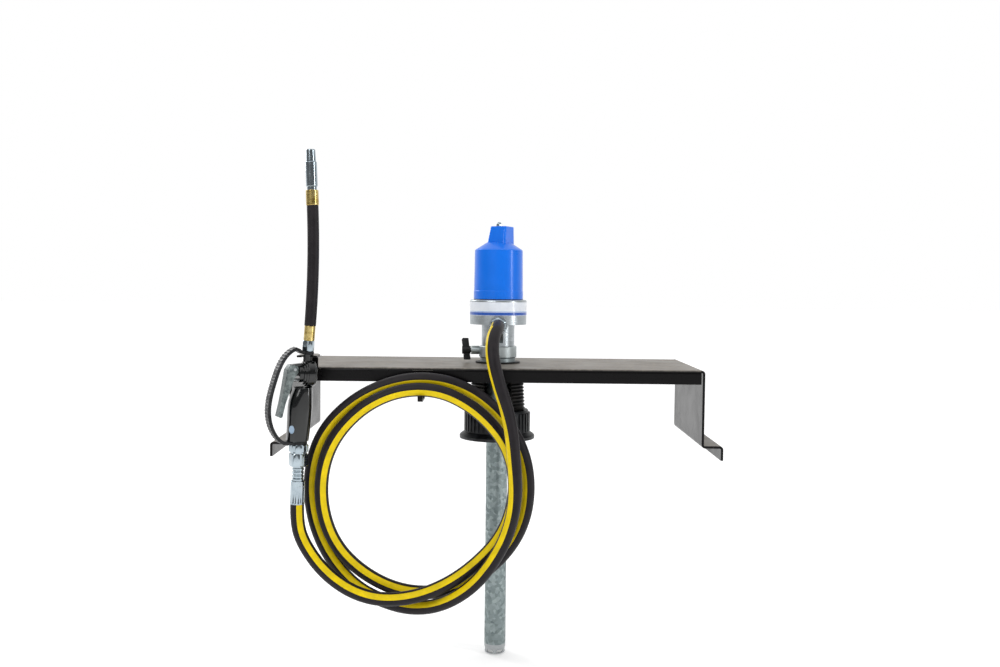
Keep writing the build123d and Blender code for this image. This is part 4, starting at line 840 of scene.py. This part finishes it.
class OILPUMP_OT_gun(bpy.types.Operator):
    """Make the control gun: swivel, inlet, grip, head, cap, trigger and guard"""
    bl_idname = "oilpump.gun"
    bl_label = "Control gun"

    def execute(self, context):
        nut = hexagon(61.2, 82, 27, 1.8) + [(82, 5, None), (61.2, 5, None)]
        turned("swivel_nut_bright", GUN, nut, "gun", "nickel_steel", ["swivel_nut"])
        turned_inlet = [(82, 5, None), (82, 12.5, None), (83.5, 12.5, None)] + hexagon(83.5, 96.4, 27, 1.6) \
            + [(96.4, 9, None), (112, 9, None), (112, 5, None)]
        turned("inlet_union_bright", GUN @ Matrix.Rotation(radians(12), 4, "Z"), turned_inlet, "gun",
               "nickel_steel", ["inlet_fitting"])
        dress(["gun_head", "valve_cap"], "gun_black")
        dress(["trigger_pin"], "machined_steel")
        self.add_trigger()
        self.add_grip()
        self.add_badge()
        self.add_guard()
        return {"FINISHED"}

    def add_trigger(self):
        """Pressed lever: a web at the front, and two deep cheeks that straddle the lug and the grip."""
        cheek = [(-13, 223), (-20, 223), (-25, 215), (-28.5, 190), (-32.5, 165), (-37.5, 142), (-33.5, 140),
                 (-30.5, 141), (-25.6, 163), (-17.5, 187), (-13.5, 200), (-9.5, 207), (-6.5, 212),
                 (-6.5, 218), (-9, 222)]
        web = [(-20, 223), (-25, 215), (-28.5, 190), (-32.5, 165), (-37.5, 142), (-35.8, 141.6), (-30.8, 165),
               (-26.8, 190), (-23.3, 214.6), (-19, 221.5)]
        vertices, faces = [], []
        inner, outer = 6.3, 8.0
        for outline, low, high in ((cheek, -outer, -inner), (cheek, inner, outer), (web, -inner, inner)):
            first, count = len(vertices), len(outline)
            vertices += [GUN @ (Vector((u, v, w)) * MM) for v in (low, high) for u, w in outline]
            faces += [tuple(range(first, first + count)),
                      tuple(reversed(range(first + count, first + 2 * count)))]
            for step in range(count):
                near = (step + 1) % count
                faces.append((first + near, first + step, first + count + step, first + count + near))
        piece("trigger_lever", vertices, faces, "lever", "pressed_steel", ["trigger"])

    def add_grip(self):
        """Hand grip: eight soft facets, fullest at the palm, waisted under the head."""
        # height, width, depth and shift towards the head, all in mm
        sections = [(101.4, 33, 27, -2.6), (102.2, 34.6, 28.6, -2.6), (104, 35, 29, -2.6),
                    (118, 36, 30, -1.6), (140, 37.4, 31.4, -0.4), (156, 37.8, 32, 0.3), (166, 36.4, 32, 1),
                    (176, 33, 31.4, 2.5), (184, 29, 30.6, 4), (187, 28, 30, 4.2)]
        # the corners are cut back by half of this on each face, and rounded by this power
        corner_cut, rounding = 8, 14
        sides, vertices = 64, []
        for height, width, depth, shift in sections:
            for step in range(sides):
                turn = 2 * pi * step / sides
                # a rectangle cut back to flats at its corners, with every corner rounded by the power mean
                across = abs(cos(turn)) / (width / 2)
                along_v = abs(sin(turn)) / (depth / 2)
                corner = (abs(cos(turn)) + abs(sin(turn))) / ((width + depth) / 2 - corner_cut)
                reach = (across ** rounding + along_v ** rounding + corner ** rounding) ** (-1 / rounding)
                vertices.append(GUN @ (Vector((shift + reach * cos(turn), reach * sin(turn), height)) * MM))
        piece("grip", vertices, skin(len(sections), sides), "gun", "gun_black", ["gun_grip"])

    def add_badge(self):
        """Plain oval badge, with a raised rim, on the grip's front left flat."""
        facing = Vector((-0.72, -0.69, 0)).normalized()
        middle = Vector((-15.6, -10.4, 121.5))
        place = GUN @ frame_of(middle * MM, facing, (0, 0, 1))
        rings = [(6.4, 4.4, 0), (6.4, 4.4, 1.0), (6.0, 4.0, 1.3), (5.4, 3.4, 1.3), (5.2, 3.2, 0.9)]
        sides = 40
        turns = [2 * pi * step / sides for step in range(sides)]
        vertices = [place @ (Vector((tall * cos(turn), wide * sin(turn), high)) * MM)
                    for tall, wide, high in rings for turn in turns]
        badge = piece("badge", vertices, skin(len(rings), sides), "gun", "gun_black")
        badge.data.materials.clear()
        badge.data.materials.append(finish("badge_enamel"))

    def add_guard(self):
        """Moulded guard: a strap with ribs across its outer face, and an eye at each end."""
        strap = [Vector(point) for point in GUARD_ROUTE]
        # each pass cuts the corners of the line at a quarter of its stretches, which rounds it
        for _ in range(4):
            cut = [before.lerp(after, share) for before, after in zip(strap, strap[1:])
                   for share in (0.25, 0.75)]
            strap = [strap[0], *cut, strap[-1]]
        half, thick, edge = 9.0, 2.5, 0.7
        rib_height, rib_pitch = 0.9, 5.0
        vertices, run = [], 0.0
        for index, point in enumerate(strap):
            before, after = strap[max(index - 1, 0)], strap[min(index + 1, len(strap) - 1)]
            ahead = (after - before).normalized()
            out = Vector((-ahead.y, ahead.x)) * -1
            run += (point - before).length
            rib = rib_height * max(0.0, cos(2 * pi * run / rib_pitch)) ** 2
            for v, lift in ((-half, -thick + edge), (-half + edge, -thick), (half - edge, -thick),
                            (half, -thick + edge), (half, thick - edge), (half - edge, thick + rib),
                            (-half + edge, thick + rib), (-half, thick - edge)):
                place = point + out * lift
                vertices.append(GUN @ (Vector((place.x, v, place.y)) * MM))
        section_points = len(vertices) // len(strap)
        piece("guard", vertices, skin(len(strap), section_points), "gun", "black_plastic", ["trigger_guard"])
        foot = [(96.4, 9.1, None), (96.4, 12.6, None), (96.8, 13, None), (101, 13, None),
                (101.4, 12.6, None), (101.4, 9.1, None)]
        turned("guard_eye_foot", GUN, foot, "gun", "black_plastic")
        top = [(13.6, 5.2, None), (13.6, 9, None), (14.1, 9.4, None), (18.1, 9.4, None), (18.6, 9, None),
               (18.6, 5.2, None)]
        turned("guard_eye_top", OUTLET, top, "gun", "black_plastic")


class OILPUMP_OT_extension(bpy.types.Operator):
    """Make the gun's flexible extension and its nozzle"""
    bl_idname = "oilpump.extension"
    bl_label = "Extension and nozzle"

    def execute(self, context):
        neck_hex = [(5, 2.5, None), (5, 4, None), (15, 4, None), (15, 5, None), (18.6, 5, None)] \
            + hexagon(18.6, 35.6, 17, 1.2) + [(35.6, 2.5, None)]
        turned("extension_hexagon", OUTLET, neck_hex, "gun", "nickel_steel", ["outlet_hex"])
        dress(["extension_ferrules"], "brass", 0.3)
        dress(["extension_hose"], "hose_rubber")
        dress(["nozzle_body"], "nickel_steel", 0.3)
        dress(["nozzle_sleeve", "nozzle_tip"], "nickel_steel", 0.2)
        return {"FINISHED"}


# ---------------------------------------------------------------- panel and registration
OPERATORS = (OILPUMP_OT_stage, OILPUMP_OT_hose, OILPUMP_OT_bracket, OILPUMP_OT_motor, OILPUMP_OT_inner_works,
             OILPUMP_OT_oil_end, OILPUMP_OT_outlet, OILPUMP_OT_gun, OILPUMP_OT_extension)


class OILPUMP_PT_panel(bpy.types.Panel):
    """Oil pump tools"""
    bl_label = "Oil pump"
    bl_idname = "OILPUMP_PT_panel"
    bl_space_type = "VIEW_3D"
    bl_region_type = "UI"
    bl_category = "Oil pump"

    def draw(self, context):
        scene = context.scene
        for group in (scene.oil_pump_colours, scene.oil_pump_hose, scene.oil_pump_studio):
            for name in group.__annotations__:
                self.layout.prop(group, name)
        for operator in OPERATORS:
            self.layout.operator(operator.bl_idname)


CLASSES = (OilPumpColours, OilPumpHose, OilPumpStudio, *OPERATORS, OILPUMP_PT_panel)


def register():
    for cls in CLASSES:
        bpy.utils.register_class(cls)
    bpy.types.Scene.oil_pump_colours = PointerProperty(type=OilPumpColours)
    bpy.types.Scene.oil_pump_hose = PointerProperty(type=OilPumpHose)
    bpy.types.Scene.oil_pump_studio = PointerProperty(type=OilPumpStudio)


def unregister():
    del bpy.types.Scene.oil_pump_studio
    del bpy.types.Scene.oil_pump_hose
    del bpy.types.Scene.oil_pump_colours
    for cls in reversed(CLASSES):
        bpy.utils.unregister_class(cls)


def main():
    """Build everything in order."""
    register()
    for operator in OPERATORS:
        space, verb = operator.bl_idname.split(".")
        getattr(getattr(bpy.ops, space), verb)()


if __name__ == "__main__":
    main()
